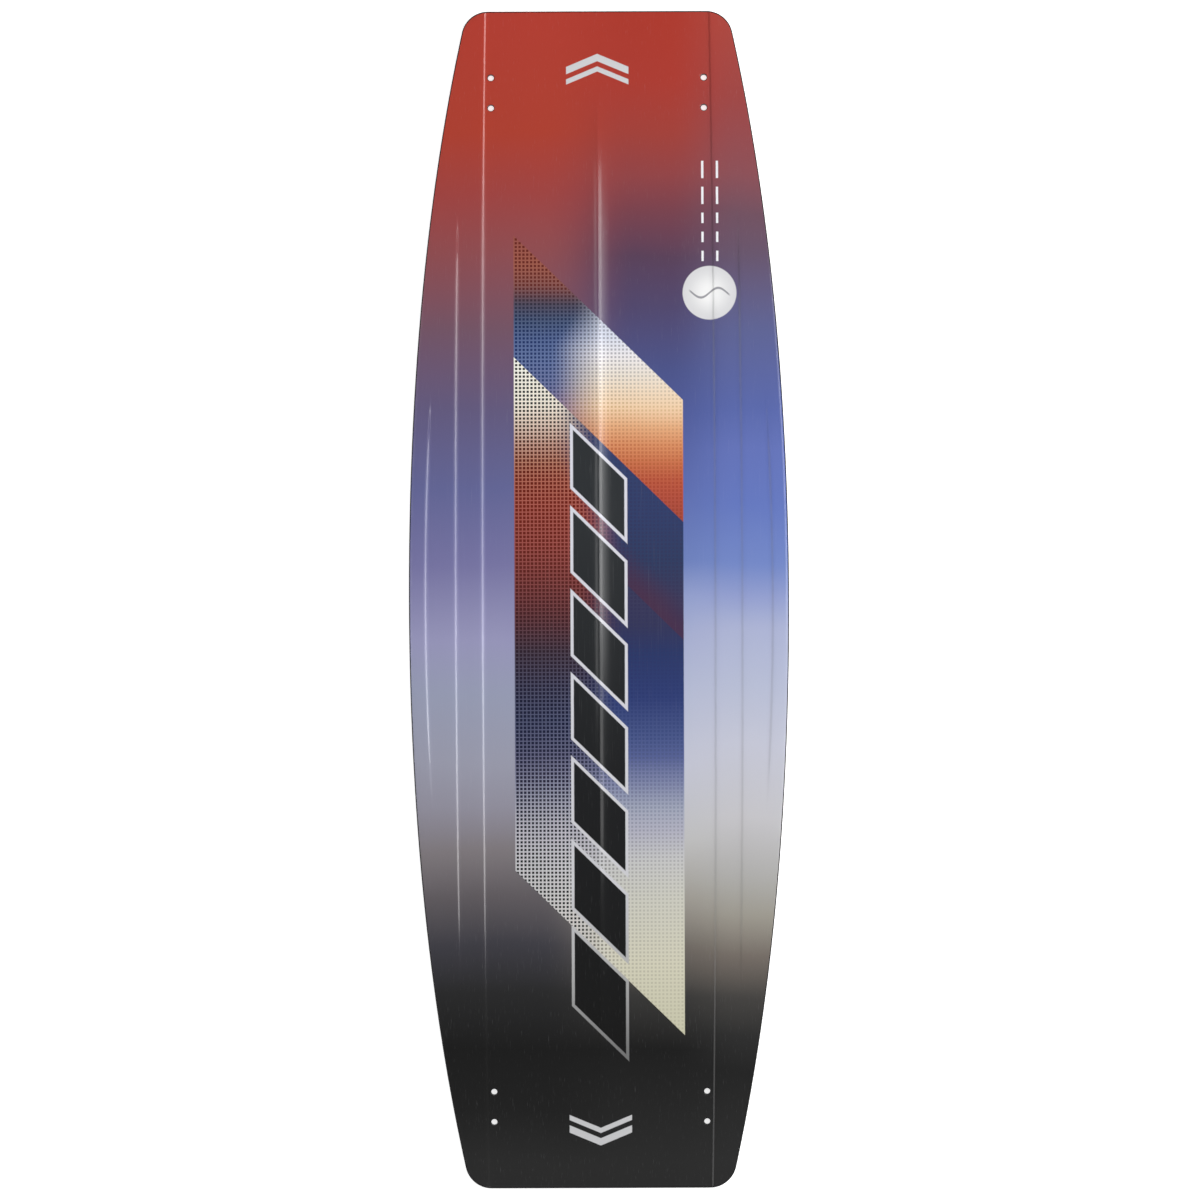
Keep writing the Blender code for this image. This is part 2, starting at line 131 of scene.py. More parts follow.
def baseHeight(x, y):
    # rocker parabola, less a gentle fall to each side, plus a parabolic spine and a smooth climb at each
    # step
    across = np.abs(x)
    height = -boardShape["rocker"] * (y / halfLength) ** 2 - boardShape["panelSlope"] * across
    spine = np.clip(1 - across / boardShape["spineReach"], 0, 1) ** 2
    height = height + boardShape["spineHeight"] * spine * runOut(y, boardShape["spineHalfLength"])
    for channel in boardShape["channels"]:
        climb = smooth((across - stepDistance(channel, y)) / boardShape["stepWidth"] + 0.5)
        height = height + channel["height"] * climb * runOut(y, channel["halfLength"])
    return height + lift


def printedHeight(x, y):
    # base height with a keener spine: the square of its fall becomes a fourth power
    fall = np.clip(1 - np.abs(x) / boardShape["spineReach"], 0, 1)
    trim = boardShape["spineHeight"] * (fall ** 2 - fall ** 4)
    return baseHeight(x, y) - trim * runOut(y, boardShape["spineHalfLength"])


def deckHeight(x, y):
    # rocker parabola, less a thickness that is a parabola both along and across the board
    along = (y / halfLength) ** 2
    middle = boardShape["middleThickness"]
    middle = middle - (middle - boardShape["tipThickness"]) * along
    across = np.clip(np.abs(x) / halfWidthAt(y), 0, 1)
    thickness = boardShape["edgeThickness"] + (middle - boardShape["edgeThickness"]) * (1 - across ** 2)
    return -boardShape["rocker"] * along - thickness + lift


def normalOf(surface, x, y):
    # upward normal of a height function, from its slopes over a millimetre each way
    gap = 0.001
    slopeX = (surface(x + gap, y) - surface(x - gap, y)) / (2 * gap)
    slopeY = (surface(x, y + gap) - surface(x, y - gap)) / (2 * gap)
    return Vector((-float(slopeX), -float(slopeY), 1)).normalized()


lift = 0.0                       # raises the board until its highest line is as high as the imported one
acrossHalf = np.linspace(0, halfWide, 4000)
lift = float(cadHigh.z) - float(baseHeight(acrossHalf, 0.0).max())
cornerTouch = cornerStart()
print("board shape ready, lifted by", round(lift, 5))


# mesh building

sharpAngle = math.radians(35)    # between faces that meet in a crisp edge


class MeshStock:
    # points and faces of one piece, gathered as arrays

    def __init__(self):
        self.points = []
        self.faces = []
        self.total = 0

    def add(self, x, y, z):
        # stores an array of points and returns their numbers in the same layout
        x, y, z = np.broadcast_arrays(x, y, z)
        self.points.append(np.stack([x, y, z], axis=-1).reshape(-1, 3))
        numbers = np.arange(self.total, self.total + x.size).reshape(x.shape)
        self.total += x.size
        return numbers

    def quads(self, a, b, c, d):
        self.faces.extend(np.stack([a, b, c, d], axis=-1).reshape(-1, 4).tolist())

    def triangles(self, a, b, c):
        self.faces.extend(np.stack([a, b, c], axis=-1).reshape(-1, 3).tolist())

    def sheet(self, grid, keep=None, faceUp=True):
        # quads between neighbours of a grid; keep leaves cells out
        corners = [grid[:-1, :-1], grid[:-1, 1:], grid[1:, 1:], grid[1:, :-1]]
        if keep is not None:
            corners = [corner[keep] for corner in corners]
        self.quads(*(corners if faceUp else corners[::-1]))

    def band(self, inner, outer):
        # quads between two closed loops of equal length
        self.quads(inner, outer, np.roll(outer, -1), np.roll(inner, -1))

    def fan(self, inner, outer, share, faceUp=True):
        # joins a loop to a finer one with share points for each of its own
        start = np.arange(len(outer)) * share
        nextOuter = np.roll(outer, -1)
        turn = share // 2
        corners = [(outer, nextOuter, inner[start + turn])]
        for step in range(share):
            here = inner[start + step]
            there = inner[(start + step + 1) % len(inner)]
            corners.append((outer if step < turn else nextOuter, there, here))
        for a, b, c in corners:
            if faceUp:
                self.triangles(a, b, c)
            else:
                self.triangles(a, c, b)

    def build(self, name, finish, recalculate=False):
        mesh = bpy.data.meshes.new(name)
        mesh.from_pydata(np.concatenate(self.points).tolist(), [], self.faces)
        if recalculate:
            solid = bmesh.new()
            solid.from_mesh(mesh)
            bmesh.ops.recalc_face_normals(solid, faces=solid.faces)
            solid.to_mesh(mesh)
            solid.free()
        mesh.shade_smooth()
        mesh.set_sharp_from_angle(angle=sharpAngle)
        mesh.materials.append(finish)
        piece = bpy.data.objects.new(name, mesh)
        bpy.context.scene.collection.objects.link(piece)
        return piece


def rimRows(sideRows, cornerRows):
    # points and outward normals up the right-hand rim, tail to nose: even steps along the side, and equal
    # angles round the corners
    sideY = np.linspace(-cornerTouch, cornerTouch, sideRows)
    sideX = halfWidthAt(sideY)
    normalX, normalY = sideNormalAt(sideY)
    radius = boardShape["cornerRadius"]
    centre = sideX[-1] - radius * normalX[-1], sideY[-1] - radius * normalY[-1]
    start = math.atan2(normalY[-1], normalX[-1])
    angle = np.linspace(start, math.pi / 2, cornerRows + 1)[1:]
    cornerX = centre[0] + radius * np.cos(angle)
    cornerY = centre[1] + radius * np.sin(angle)
    rimX = np.concatenate([cornerX[::-1], sideX, cornerX])
    rimY = np.concatenate([-cornerY[::-1], sideY, cornerY])
    outX = np.concatenate([np.cos(angle)[::-1], normalX, np.cos(angle)])
    outY = np.concatenate([-np.sin(angle)[::-1], normalY, np.sin(angle)])
    return rimX, rimY, outX, outY


def creaseTracks(rimX, y):
    # distances from the centre line of the lines that spine and steps follow, kept clear of the rim
    reach = boardShape["spineReach"]
    crest = 0.12 * reach         # the part of the spine that bends most
    closest = 0.0006             # between tracks that the rim squeezes together
    tracks = [0 * y, crest + 0 * y, reach + 0 * y]
    for channel in boardShape["channels"]:
        middle = stepDistance(channel, y)
        tracks.append(middle - boardShape["stepWidth"] / 2)
        tracks.append(middle + boardShape["stepWidth"] / 2)
    tracks = np.stack(tracks + [rimX], axis=1)
    room = closest * np.arange(tracks.shape[1] - 1, -1, -1)
    return np.minimum(tracks, rimX[:, None] - room)


def planGrid(layout, inset):
    # rows across the board, columns along its creases, each span between two creases split evenly
    rimX, rimY, outX, outY = rimRows(layout["sideRows"], layout["cornerRows"])
    edgeX, edgeY = rimX - inset * outX, rimY - inset * outY
    if "columns" in layout:
        tracks = creaseTracks(edgeX, edgeY)
        lines = [tracks[:, :1]]
        for number, count in enumerate(layout["columns"]):
            share = np.linspace(0, 1, count + 1)[1:]
            lines.append(tracks[:, number, None] * (1 - share) + tracks[:, number + 1, None] * share)
        lines = np.concatenate(lines, axis=1)
    else:
        lines = edgeX[:, None] * np.linspace(0, 1, layout["evenColumns"] + 1)
    x = np.concatenate([-lines[:, :0:-1], lines], axis=1)
    y = np.broadcast_to(edgeY[:, None], x.shape)
    return x, y, outX, outY


def around(grid):
    # a grid's border, anticlockwise from above
    return np.concatenate([grid[:-1, -1], grid[-1, :0:-1], grid[:0:-1, 0], grid[0, :-1]])


def platePiece(name, layout, upper, lower, holes, finish):
    # a plate between two height functions, with rounded rims: a top grid and a bottom grid joined by rings
    # that follow the outline, and by rings that follow a circle at each hole
    stock = MeshStock()
    radius = layout["edgeRadius"]
    x, y, outX, outY = planGrid(layout, layout["inset"] + radius)
    top = stock.add(x, y, upper(x, y))
    bottom = stock.add(x, y, lower(x, y))
    keep = np.ones((x.shape[0] - 1, x.shape[1] - 1), bool)
    turn = np.radians([30, 60, 90])
    spreads = (0.75, 0.45, 0.2, 0.0)      # rings round a hole: shares of the way from its rim to its block

    for hole in holes:
        reach = hole["radius"] + layout["holeMargin"]
        middleX, middleY = hole["upper"]
        row = np.abs(y[:, 0] - middleY).argmin()
        left = np.searchsorted(x[row], middleX - reach) - 1
        right = np.searchsorted(x[row], middleX + reach)
        low = np.searchsorted(y[:, 0], middleY - reach) - 1
        high = np.searchsorted(y[:, 0], middleY + reach)
        keep[low:high, left:right] = False
        block = np.s_[low:high + 1, left:right + 1]
        share = layout["holeShare"]
        sides = []
        for face, height, way in (("upper", upper, -1), ("lower", lower, 1)):
            centreX, centreY = hole[face]
            loopX, loopY = around(x[block]) - centreX, around(y[block]) - centreY
            steps = np.arange(share) / share
            fineX = (loopX[:, None] * (1 - steps) + np.roll(loopX, -1)[:, None] * steps).ravel()
            fineY = (loopY[:, None] * (1 - steps) + np.roll(loopY, -1)[:, None] * steps).ravel()
            far = np.hypot(fineX, fineY)
            dirX, dirY = fineX / far, fineY / far
            rim = hole["radius"] + radius
            rings = []
            for spread in spreads:
                ringX = centreX + dirX * (rim + spread * (far - rim))
                ringY = centreY + dirY * (rim + spread * (far - rim))
                rings.append(stock.add(ringX, ringY, height(ringX, ringY)))
            for angle in turn:
                ringX = centreX + dirX * (rim - radius * math.sin(angle))
                ringY = centreY + dirY * (rim - radius * math.sin(angle))
                drop = radius * (1 - math.cos(angle)) * way
                rings.append(stock.add(ringX, ringY, height(ringX, ringY) + drop))
            sides.append(rings)
        stock.fan(sides[0][0], around(top[block]), share)
        stock.fan(sides[1][0], around(bottom[block]), share, faceUp=False)
        wall = sides[0] + sides[1][::-1]
        for outer, inner in zip(wall, wall[1:]):
            stock.band(inner, outer)

    stock.sheet(top, keep)
    stock.sheet(bottom, keep, faceUp=False)
    borderX, borderY = around(x), around(y)
    columns = x.shape[1]
    normalX = np.concatenate([outX[:-1], np.zeros(columns - 1), -outX[:0:-1], np.zeros(columns - 1)])
    normalY = np.concatenate([outY[:-1], np.ones(columns - 1), outY[:0:-1], -np.ones(columns - 1)])
    rings = [around(top)]
    for surface, angles, way in ((upper, turn, -1), (lower, turn[::-1], 1)):
        for angle in angles:
            ringX = borderX + radius * math.sin(angle) * normalX
            ringY = borderY + radius * math.sin(angle) * normalY
            drop = radius * (1 - math.cos(angle)) * way
            rings.append(stock.add(ringX, ringY, surface(ringX, ringY) + drop))
    rings.append(around(bottom))
    for inner, outer in zip(rings, rings[1:]):
        stock.band(inner, outer)
    piece = stock.build(name, finish)
    print(name, len(piece.data.polygons), "faces")
    return piece


def sweptRail(name, stations, corners, finish):
    # a closed profile of (inset, height from the nearer face) carried along the outline: each point takes
    # its height from the base or the deck at its own place, so the rail follows rocker, steps and thickness
    railX, railY, outX, outY = stations
    inset, fromFace, nearBase = roundedProfile(corners)
    x = railX[:, None] - inset * outX[:, None]
    y = railY[:, None] - inset * outY[:, None]
    z = np.where(nearBase, baseHeight(x, y), deckHeight(x, y)) + fromFace
    stock = MeshStock()
    grid = stock.add(x, y, z)
    stock.quads(grid[:-1], grid[1:], np.roll(grid[1:], -1, axis=1), np.roll(grid[:-1], -1, axis=1))
    stock.faces.append(grid[0].tolist())
    stock.faces.append(grid[-1, ::-1].tolist())
    piece = stock.build(name, finish, recalculate=True)
    print(name, len(piece.data.polygons), "faces")
    return piece


def roundedProfile(corners):
    # each corner of the polygon becomes an arc tangent to its two sides; the polygon is drawn with the
    # board's two faces the edge thickness apart, and split again into heights from the nearer face
    half = boardShape["edgeThickness"] / 2
    arcPoints = 5
    points = []
    for number, (inset, height, radius) in enumerate(corners):
        here = np.array([inset, height])
        before = np.array(corners[number - 1][:2]) - here
        after = np.array(corners[(number + 1) % len(corners)][:2]) - here
        before, after = before / np.hypot(*before), after / np.hypot(*after)
        bend = math.acos(np.clip(before @ after, -1, 1))
        cut = radius / math.tan(bend / 2)
        centre = here + (before + after) / np.hypot(*(before + after)) * radius / math.sin(bend / 2)
        first, last = here + before * cut - centre, here + after * cut - centre
        start = math.atan2(first[1], first[0])
        sweep = (math.atan2(last[1], last[0]) - start + math.pi) % (2 * math.pi) - math.pi
        angle = start + sweep * np.linspace(0, 1, arcPoints)
        points.append(centre[:, None] + radius * np.array([np.cos(angle), np.sin(angle)]))
    inset, height = np.concatenate(points, axis=1)
    nearBase = height > 0
    return inset, np.where(nearBase, height - half, height + half), nearBase


def turnedPiece(name, centre, axis, profile, sides, finish, thread=None):
    # a profile of (radius, height) turned about an axis; a profile that starts and ends on the axis is
    # closed by two poles, and any other is closed on itself. A thread adds a triangle wave of
    # (height / pitch - turn) to the radius. Each point keeps its way along the profile, in millimetres, for
    # lathe marks
    radius, height = np.array(profile).T
    closed = radius[0] > 0
    if not closed:
        radius, height = radius[1:-1], height[1:-1]
    angle = np.linspace(0, 2 * np.pi, sides, endpoint=False)
    ring = np.broadcast_to(radius[:, None], (len(radius), sides)).copy()
    if thread:
        pitch = thread["pitch"]
        cut = smooth((height - thread["low"]) / pitch) * smooth((thread["high"] - height) / pitch)
        cut = np.where(np.abs(radius - thread["radius"]) < 1e-6, cut, 0)      # on the bore's wall only
        phase = height[:, None] / pitch - angle / (2 * np.pi)
        wave = np.abs((phase % 1) * 2 - 1)
        ring += thread["depth"] * cut[:, None] * wave
    frameAxes = np.array(axis.to_track_quat("Z", "Y").to_matrix())

    def placed(localX, localY, localZ):
        local = np.stack(np.broadcast_arrays(localX, localY, localZ), axis=-1)
        return np.moveaxis(local @ frameAxes.T + np.array(centre), -1, 0)

    stock = MeshStock()
    grid = stock.add(*placed(ring * np.cos(angle), ring * np.sin(angle), height[:, None]))
    if closed:
        grid = np.concatenate([grid, grid[:1]])
    else:
        for end, row in ((0, 0), (-1, -1)):
            pole = stock.add(*placed(0.0, 0.0, profile[end][1]))
            loop = grid[row]
            stock.triangles(np.full(sides, pole), loop, np.roll(loop, -1))
    stock.quads(grid[:-1], np.roll(grid[:-1], -1, axis=1), np.roll(grid[1:], -1, axis=1), grid[1:])
    piece = stock.build(name, finish, recalculate=True)
    way = np.cumsum(np.hypot(np.diff(radius, prepend=radius[0]), np.diff(height, prepend=height[0]))) * 1000
    values = np.zeros(stock.total)
    values[:ring.size] = np.repeat(way, sides)
    values[ring.size:] = way[-1]
    marks = piece.data.attributes.new("profileWay", "FLOAT", "POINT")
    marks.data.foreach_set("value", values)
    return piece


# finishes: small helpers that build node trees

def paint(colour):
    # sRGB 0 to 255 to linear light
    share = np.array(colour) / 255
    linear = np.where(share <= 0.04045, share / 12.92, ((share + 0.055) / 1.055) ** 2.4)
    return (*linear.tolist(), 1)


def newFinish(name):
    material = bpy.data.materials.new(name)
    material.use_nodes = True
    tree = material.node_tree
    return material, tree, tree.nodes["Principled BSDF"]


def feed(tree, socket, value):
    # links an output to an input, or sets a plain value
    if isinstance(value, bpy.types.NodeSocket):
        tree.links.new(value, socket)
    else:
        socket.default_value = value


def calc(tree, operation, *values):
    node = tree.nodes.new("ShaderNodeMath")
    node.operation = operation
    for socket, value in zip(node.inputs, values):
        feed(tree, socket, value)
    return node.outputs[0]


def fade(tree, value, start, end, low=0.0, high=1.0):
    # low before start and high after end, with a smooth change between
    node = tree.nodes.new("ShaderNodeMapRange")
    node.interpolation_type = "SMOOTHSTEP"
    for socket, number in zip(node.inputs[:5], (value, start, end, low, high)):
        feed(tree, socket, number)
    return node.outputs[0]


def mixed(tree, share, first, second, mode="MIX"):
    node = tree.nodes.new("ShaderNodeMix")
    node.data_type = "RGBA"
    node.blend_type = mode
    feed(tree, node.inputs[0], share)
    feed(tree, node.inputs[6], first)
    feed(tree, node.inputs[7], second)
    return node.outputs[2]


def millimetres(tree, stretch=(1, 1, 1), shift=(0, 0, 0)):
    # Object coordinates in millimetres, divided by stretch
    source = tree.nodes.new("ShaderNodeTexCoord")
    mapping = tree.nodes.new("ShaderNodeMapping")
    mapping.inputs["Scale"].default_value = [1000 / part for part in stretch]
    mapping.inputs["Location"].default_value = shift
    tree.links.new(source.outputs["Object"], mapping.inputs["Vector"])
    return mapping.outputs[0]


def partsOf(tree, vector):
    # how far a vector reaches across and along the board
    parts = tree.nodes.new("ShaderNodeSeparateXYZ")
    tree.links.new(vector, parts.inputs[0])
    return parts.outputs[0], parts.outputs[1]


def noise(tree, vector, size, detail=2.0, roughness=0.5):
    # noise whose features are about size units across
    node = tree.nodes.new("ShaderNodeTexNoise")
    tree.links.new(vector, node.inputs["Vector"])
    node.inputs["Scale"].default_value = 1 / size
    node.inputs["Detail"].default_value = detail
    node.inputs["Roughness"].default_value = roughness
    return node.outputs["Fac"]


def bumps(tree, shader, *layers):
    # stacked bump nodes: (height, depth in metres) for each layer
    normal = None
    for height, depth in layers:
        node = tree.nodes.new("ShaderNodeBump")
        node.inputs["Strength"].default_value = 1.0
        node.inputs["Distance"].default_value = depth
        feed(tree, node.inputs["Height"], height)
        if normal is not None:
            tree.links.new(normal, node.inputs["Normal"])
        normal = node.outputs[0]
    tree.links.new(normal, shader.inputs["Normal"])


def ramp(tree, along, stops):
    # colours at places along the board, as (millimetres from its middle, colour) from tail to nose
    node = tree.nodes.new("ShaderNodeValToRGB")
    elements = node.color_ramp.elements
    while len(elements) < len(stops):
        elements.new(0.5)
    half = halfLength * 1000
    for element, (place, colour) in zip(elements, stops):
        element.position = (place + half) / (2 * half)
    for element, (place, colour) in zip(elements, stops):
        element.color = paint(colour)
    feed(tree, node.inputs[0], calc(tree, "DIVIDE", calc(tree, "ADD", along, half), 2 * half))
    return node.outputs[0]


def inside(tree, value, low, high, soft):
    # 1 between low and high, with edges soft units wide
    above = fade(tree, value, low - soft / 2, low + soft / 2)
    below = fade(tree, value, high - soft / 2, high + soft / 2, 1.0, 0.0)
    return calc(tree, "MULTIPLY", above, below)


# print of the base, in millimetres: each colour stands at its distance from the middle of the board; the
# inner and right fades are lighter than the left, which is print with painted sheen from the light on the
# right
basePrint = {
    "leftFade": [
        (-650, (44, 44, 44)), (-590, (32, 32, 32)), (-520, (27, 27, 27)), (-455, (42, 42, 43)),
        (-400, (64, 63, 70)), (-345, (98, 93, 97)), (-290, (129, 123, 127)), (-240, (147, 145, 159)),
        (-190, (155, 156, 173)), (-110, (152, 157, 181)), (-50, (152, 151, 187)), (40, (119, 117, 163)),
        (130, (99, 102, 150)), (220, (99, 90, 126)), (310, (115, 84, 101)), (400, (142, 76, 80)),
        (470, (158, 67, 64)), (540, (172, 63, 48)), (670, (177, 61, 49)),
    ],
    "innerFade": [
        (-650, (44, 44, 44)), (-520, (28, 28, 28)), (-455, (58, 57, 56)), (-400, (110, 104, 98)),
        (-345, (159, 155, 147)), (-275, (192, 192, 192)), (-185, (194, 196, 211)), (-95, (178, 184, 209)),
        (-40, (164, 171, 205)), (0, (145, 157, 201)), (40, (107, 126, 184)), (130, (91, 106, 169)),
        (220, (77, 88, 148)), (265, (74, 82, 135)), (335, (79, 70, 107)), (392, (87, 63, 87)),
        (445, (117, 64, 76)), (490, (142, 66, 68)), (540, (158, 63, 56)), (600, (168, 58, 48)),
        (670, (169, 56, 44)),
    ],
    "rightFade": [
        (-650, (46, 46, 46)), (-545, (35, 35, 35)), (-500, (46, 46, 46)), (-455, (70, 68, 66)),
        (-410, (119, 111, 104)), (-365, (158, 154, 144)), (-320, (176, 175, 173)), (-250, (197, 196, 200)),
        (-165, (195, 197, 212)), (-95, (181, 187, 210)), (-30, (169, 176, 208)), (5, (143, 155, 202)),
        (40, (113, 133, 194)), (110, (98, 117, 186)), (175, (97, 112, 179)), (220, (87, 101, 165)),
        (310, (91, 96, 143)), (400, (100, 82, 104)), (445, (109, 78, 93)), (490, (135, 77, 84)),
        (580, (154, 68, 66)), (670, (168, 70, 62)),
    ],
    "leftToInner": (-70, 45),    # where one fade gives way to the next, across the board
    "innerToRight": (80, 165),
    "smokeSize": 190,
    "smoke": 24,                 # how far the soft edges of the fades wander
    "bandSmoke": 14,
    "bandHalfWidth": 97.4,
    "slant": 0.978,              # fall of the diagonals towards the right
    "bandTop": 325.2,            # heights of the diagonals on the centre line
    "secondDiagonal": 184.5,
    "thirdDiagonal": 48.6,
    "bandFoot": -407.5,
    "edgeSoftness": 0.8,
    "coolToWarm": (-56, 14),     # across the top stripe, and how far that moves right higher up
    "warmDrift": (286, 340, 26),
    "leftToRight": (-26, 30),    # across the lower stripes, and how far that moves left higher up
    "rightDrift": (90, 180, 28),
    "tinge": (84, 40, 58),       # above the third diagonal, on the right
    "tingeWidth": 60,
    "tingeFade": 56,
    "tingeStart": (0, 44),
    "dotPitch": 4.4,
    "dotSpan": (-110, 70),       # where the dots change from the first size to the second, across the board
    "dotSizes": (0.62, 0.52),    # as shares of the pitch
    "dotGrowth": 0.1,            # of the dots in the middle of the board
    "growthSpan": (-235, 175),
    "growthSoftness": 60,
    "paleSpan": (-30, 85),       # where the dots grow fainter, across the board
    "paleDots": 0.6,
    "warmLines": [               # the pale lines between the dots, and then the dots, for each stripe
        (60, (150, 66, 56)), (120, (178, 80, 62)), (140, (186, 90, 64)), (160, (200, 114, 76)),
        (180, (214, 142, 98)), (200, (226, 170, 126)), (222, (238, 206, 170)), (244, (238, 218, 194)),
        (262, (233, 224, 212)), (282, (236, 232, 234)), (304, (218, 222, 236)),
    ],
    "warmDots": [
        (60, (120, 50, 40)), (140, (160, 62, 42)), (180, (186, 104, 66)), (222, (206, 166, 122)),
        (250, (178, 166, 150)), (280, (164, 162, 166)), (304, (140, 144, 158)),
    ],
    "coolLines": [
        (196, (160, 104, 116)), (222, (138, 116, 150)), (246, (112, 120, 162)), (280, (100, 118, 162)),
        (300, (88, 106, 150)), (322, (76, 90, 122)), (342, (84, 76, 92)), (362, (136, 86, 82)),
        (384, (160, 92, 76)), (420, (150, 80, 72)),
    ],
    "coolDots": [
        (196, (96, 56, 74)), (222, (70, 60, 100)), (250, (46, 60, 106)), (300, (30, 48, 94)),
        (322, (34, 48, 78)), (342, (46, 42, 56)), (362, (96, 40, 34)), (420, (104, 40, 32)),
    ],
    "leftLines": [
        (-400, (212, 208, 202)), (-325, (204, 203, 204)), (-280, (192, 190, 198)), (-255, (178, 177, 188)),
        (-230, (156, 158, 176)), (-205, (128, 129, 154)), (-180, (102, 103, 132)), (-140, (84, 89, 118)),
        (-100, (78, 78, 102)), (-60, (76, 64, 78)), (-20, (106, 62, 66)), (20, (134, 70, 68)),
        (60, (156, 80, 73)), (110, (170, 90, 78)), (140, (178, 104, 86)), (160, (182, 124, 102)),
        (180, (196, 154, 138)), (205, (220, 200, 184)), (225, (238, 230, 216)), (285, (244, 246, 236)),
    ],
    "leftDots": [
        (-400, (50, 50, 50)), (-300, (42, 42, 46)), (-220, (36, 36, 56)), (-140, (20, 26, 52)),
        (-100, (28, 26, 48)), (-60, (44, 30, 42)), (-20, (64, 28, 32)), (20, (84, 32, 30)),
        (60, (98, 32, 25)), (110, (106, 32, 22)), (150, (98, 34, 24)), (185, (76, 44, 36)),
        (225, (58, 56, 52)), (285, (56, 58, 58)),
    ],
    "rightLines": [
        (-505, (204, 202, 176)), (-420, (214, 211, 190)), (-345, (207, 206, 195)), (-300, (200, 200, 200)),
        (-265, (178, 178, 194)), (-240, (162, 168, 187)), (-210, (128, 135, 170)), (-180, (86, 97, 148)),
        (-155, (72, 86, 136)), (-110, (48, 62, 116)), (-60, (41, 55, 102)), (-30, (52, 54, 88)),
        (0, (58, 57, 90)), (40, (46, 59, 95)), (100, (48, 61, 104)), (190, (52, 64, 106)),
    ],
    "rightDots": [
        (-505, (184, 180, 152)), (-420, (176, 172, 152)), (-345, (168, 167, 156)), (-300, (150, 150, 152)),
        (-250, (132, 134, 152)), (-210, (98, 106, 140)), (-160, (58, 72, 122)), (-110, (40, 54, 108)),
        (0, (52, 50, 82)), (190, (48, 60, 100)),
    ],
}
baseMarks = {
    "barHalfWidth": 29.5,
    "bars": [                    # middle, half length
        (134, 33), (38, 34), (-58, 34), (-154, 34), (-250, 34), (-348, 36), (-454, 42),
    ],
    "outline": 3.4,
    "outlineFade": [(-520, (120, 120, 120)), (-430, (176, 176, 176)), (-330, (206, 206, 210)),
                    (160, (216, 216, 226))],
    "barFade": [(-500, (24, 24, 24)), (-200, (30, 31, 33)), (100, (46, 49, 52))],
    "disc": (128.6, 353.5),
    "discRadius": 31.0,
    "discColours": [(240, 240, 240), (214, 214, 216)],
    "discShade": (4, 30),        # from the middle outwards
    "waveLength": 40.2,
    "waveHeight": 5.5,
    "waveLine": (0.9, 1.7),      # half its width, and where it has gone
    "waveEnd": (21, 25),
    "waveStrength": 0.8,
    "waveColour": (120, 120, 128),
    "ticks": [(396, 6), (418, 6), (440, 6), (466, 10), (496, 10)],      # place along the board, half length
    "tickEdges": (119.5, 139.0),
    "tickWidth": 2.6,
    "tickColour": (236, 236, 240),
    "chevronPlace": 617,
    "chevronHalfWidth": 36,
    "chevronLean": 0.42,
    "chevrons": [(5, 13.5), (-7, -1)],
    "chevronColour": (206, 206, 208),
}
baseGloss = {
    "scratchSize": (0.7, 90, 1),
    "scratches": (0.62, 0.8),
    "smudgeSize": 60,
    "smudgeRoughness": 0.05,
    "scratchRoughness": 0.1,
    "scratchAmount": 0.05,
    "scratchColour": (225, 225, 230),
    "roughness": 0.08,
    "specularLevel": 0.3,
    "peelSize": 1.6,
    "peelDepth": 0.000002,       # metres
    "scratchDepth": 0.000004,
}


def leaningBar(tree, x, lean, middle, half):
    # distance outside a leaning bar: the greater of the overshoot across and along, below 0 inside
    across = calc(tree, "SUBTRACT", calc(tree, "ABSOLUTE", x), baseMarks["barHalfWidth"])
    along = calc(tree, "SUBTRACT", calc(tree, "ABSOLUTE", calc(tree, "SUBTRACT", lean, middle)), half)
    along = calc(tree, "DIVIDE", along, math.hypot(1, basePrint["slant"]))
    return calc(tree, "MAXIMUM", across, along)


def halftone(tree, x, y, size):
    # square dots on a square lattice, 1 inside a dot whose side is a share of the pitch
    sides = []
    for part in (x, y):
        cell = calc(tree, "FRACT", calc(tree, "DIVIDE", part, basePrint["dotPitch"]))
        sides.append(calc(tree, "MULTIPLY", calc(tree, "ABSOLUTE", calc(tree, "SUBTRACT", cell, 0.5)), 2.0))
    reach = calc(tree, "MAXIMUM", *sides)
    return fade(tree, calc(tree, "SUBTRACT", reach, size), -0.1, 0.1, 1.0, 0.0)


def fadeBetween(tree, part, bandY, share, first, second):
    # two of the band's fades, blended across
    fades = [ramp(tree, bandY, basePrint[name + part]) for name in (first, second)]
    return mixed(tree, share, *fades)


def drifting(tree, x, y, drift, way):
    # x, moved by an amount that grows from nothing between two heights
    start, end, amount = drift
    return calc(tree, way, x, fade(tree, y, start, end, 0.0, amount))


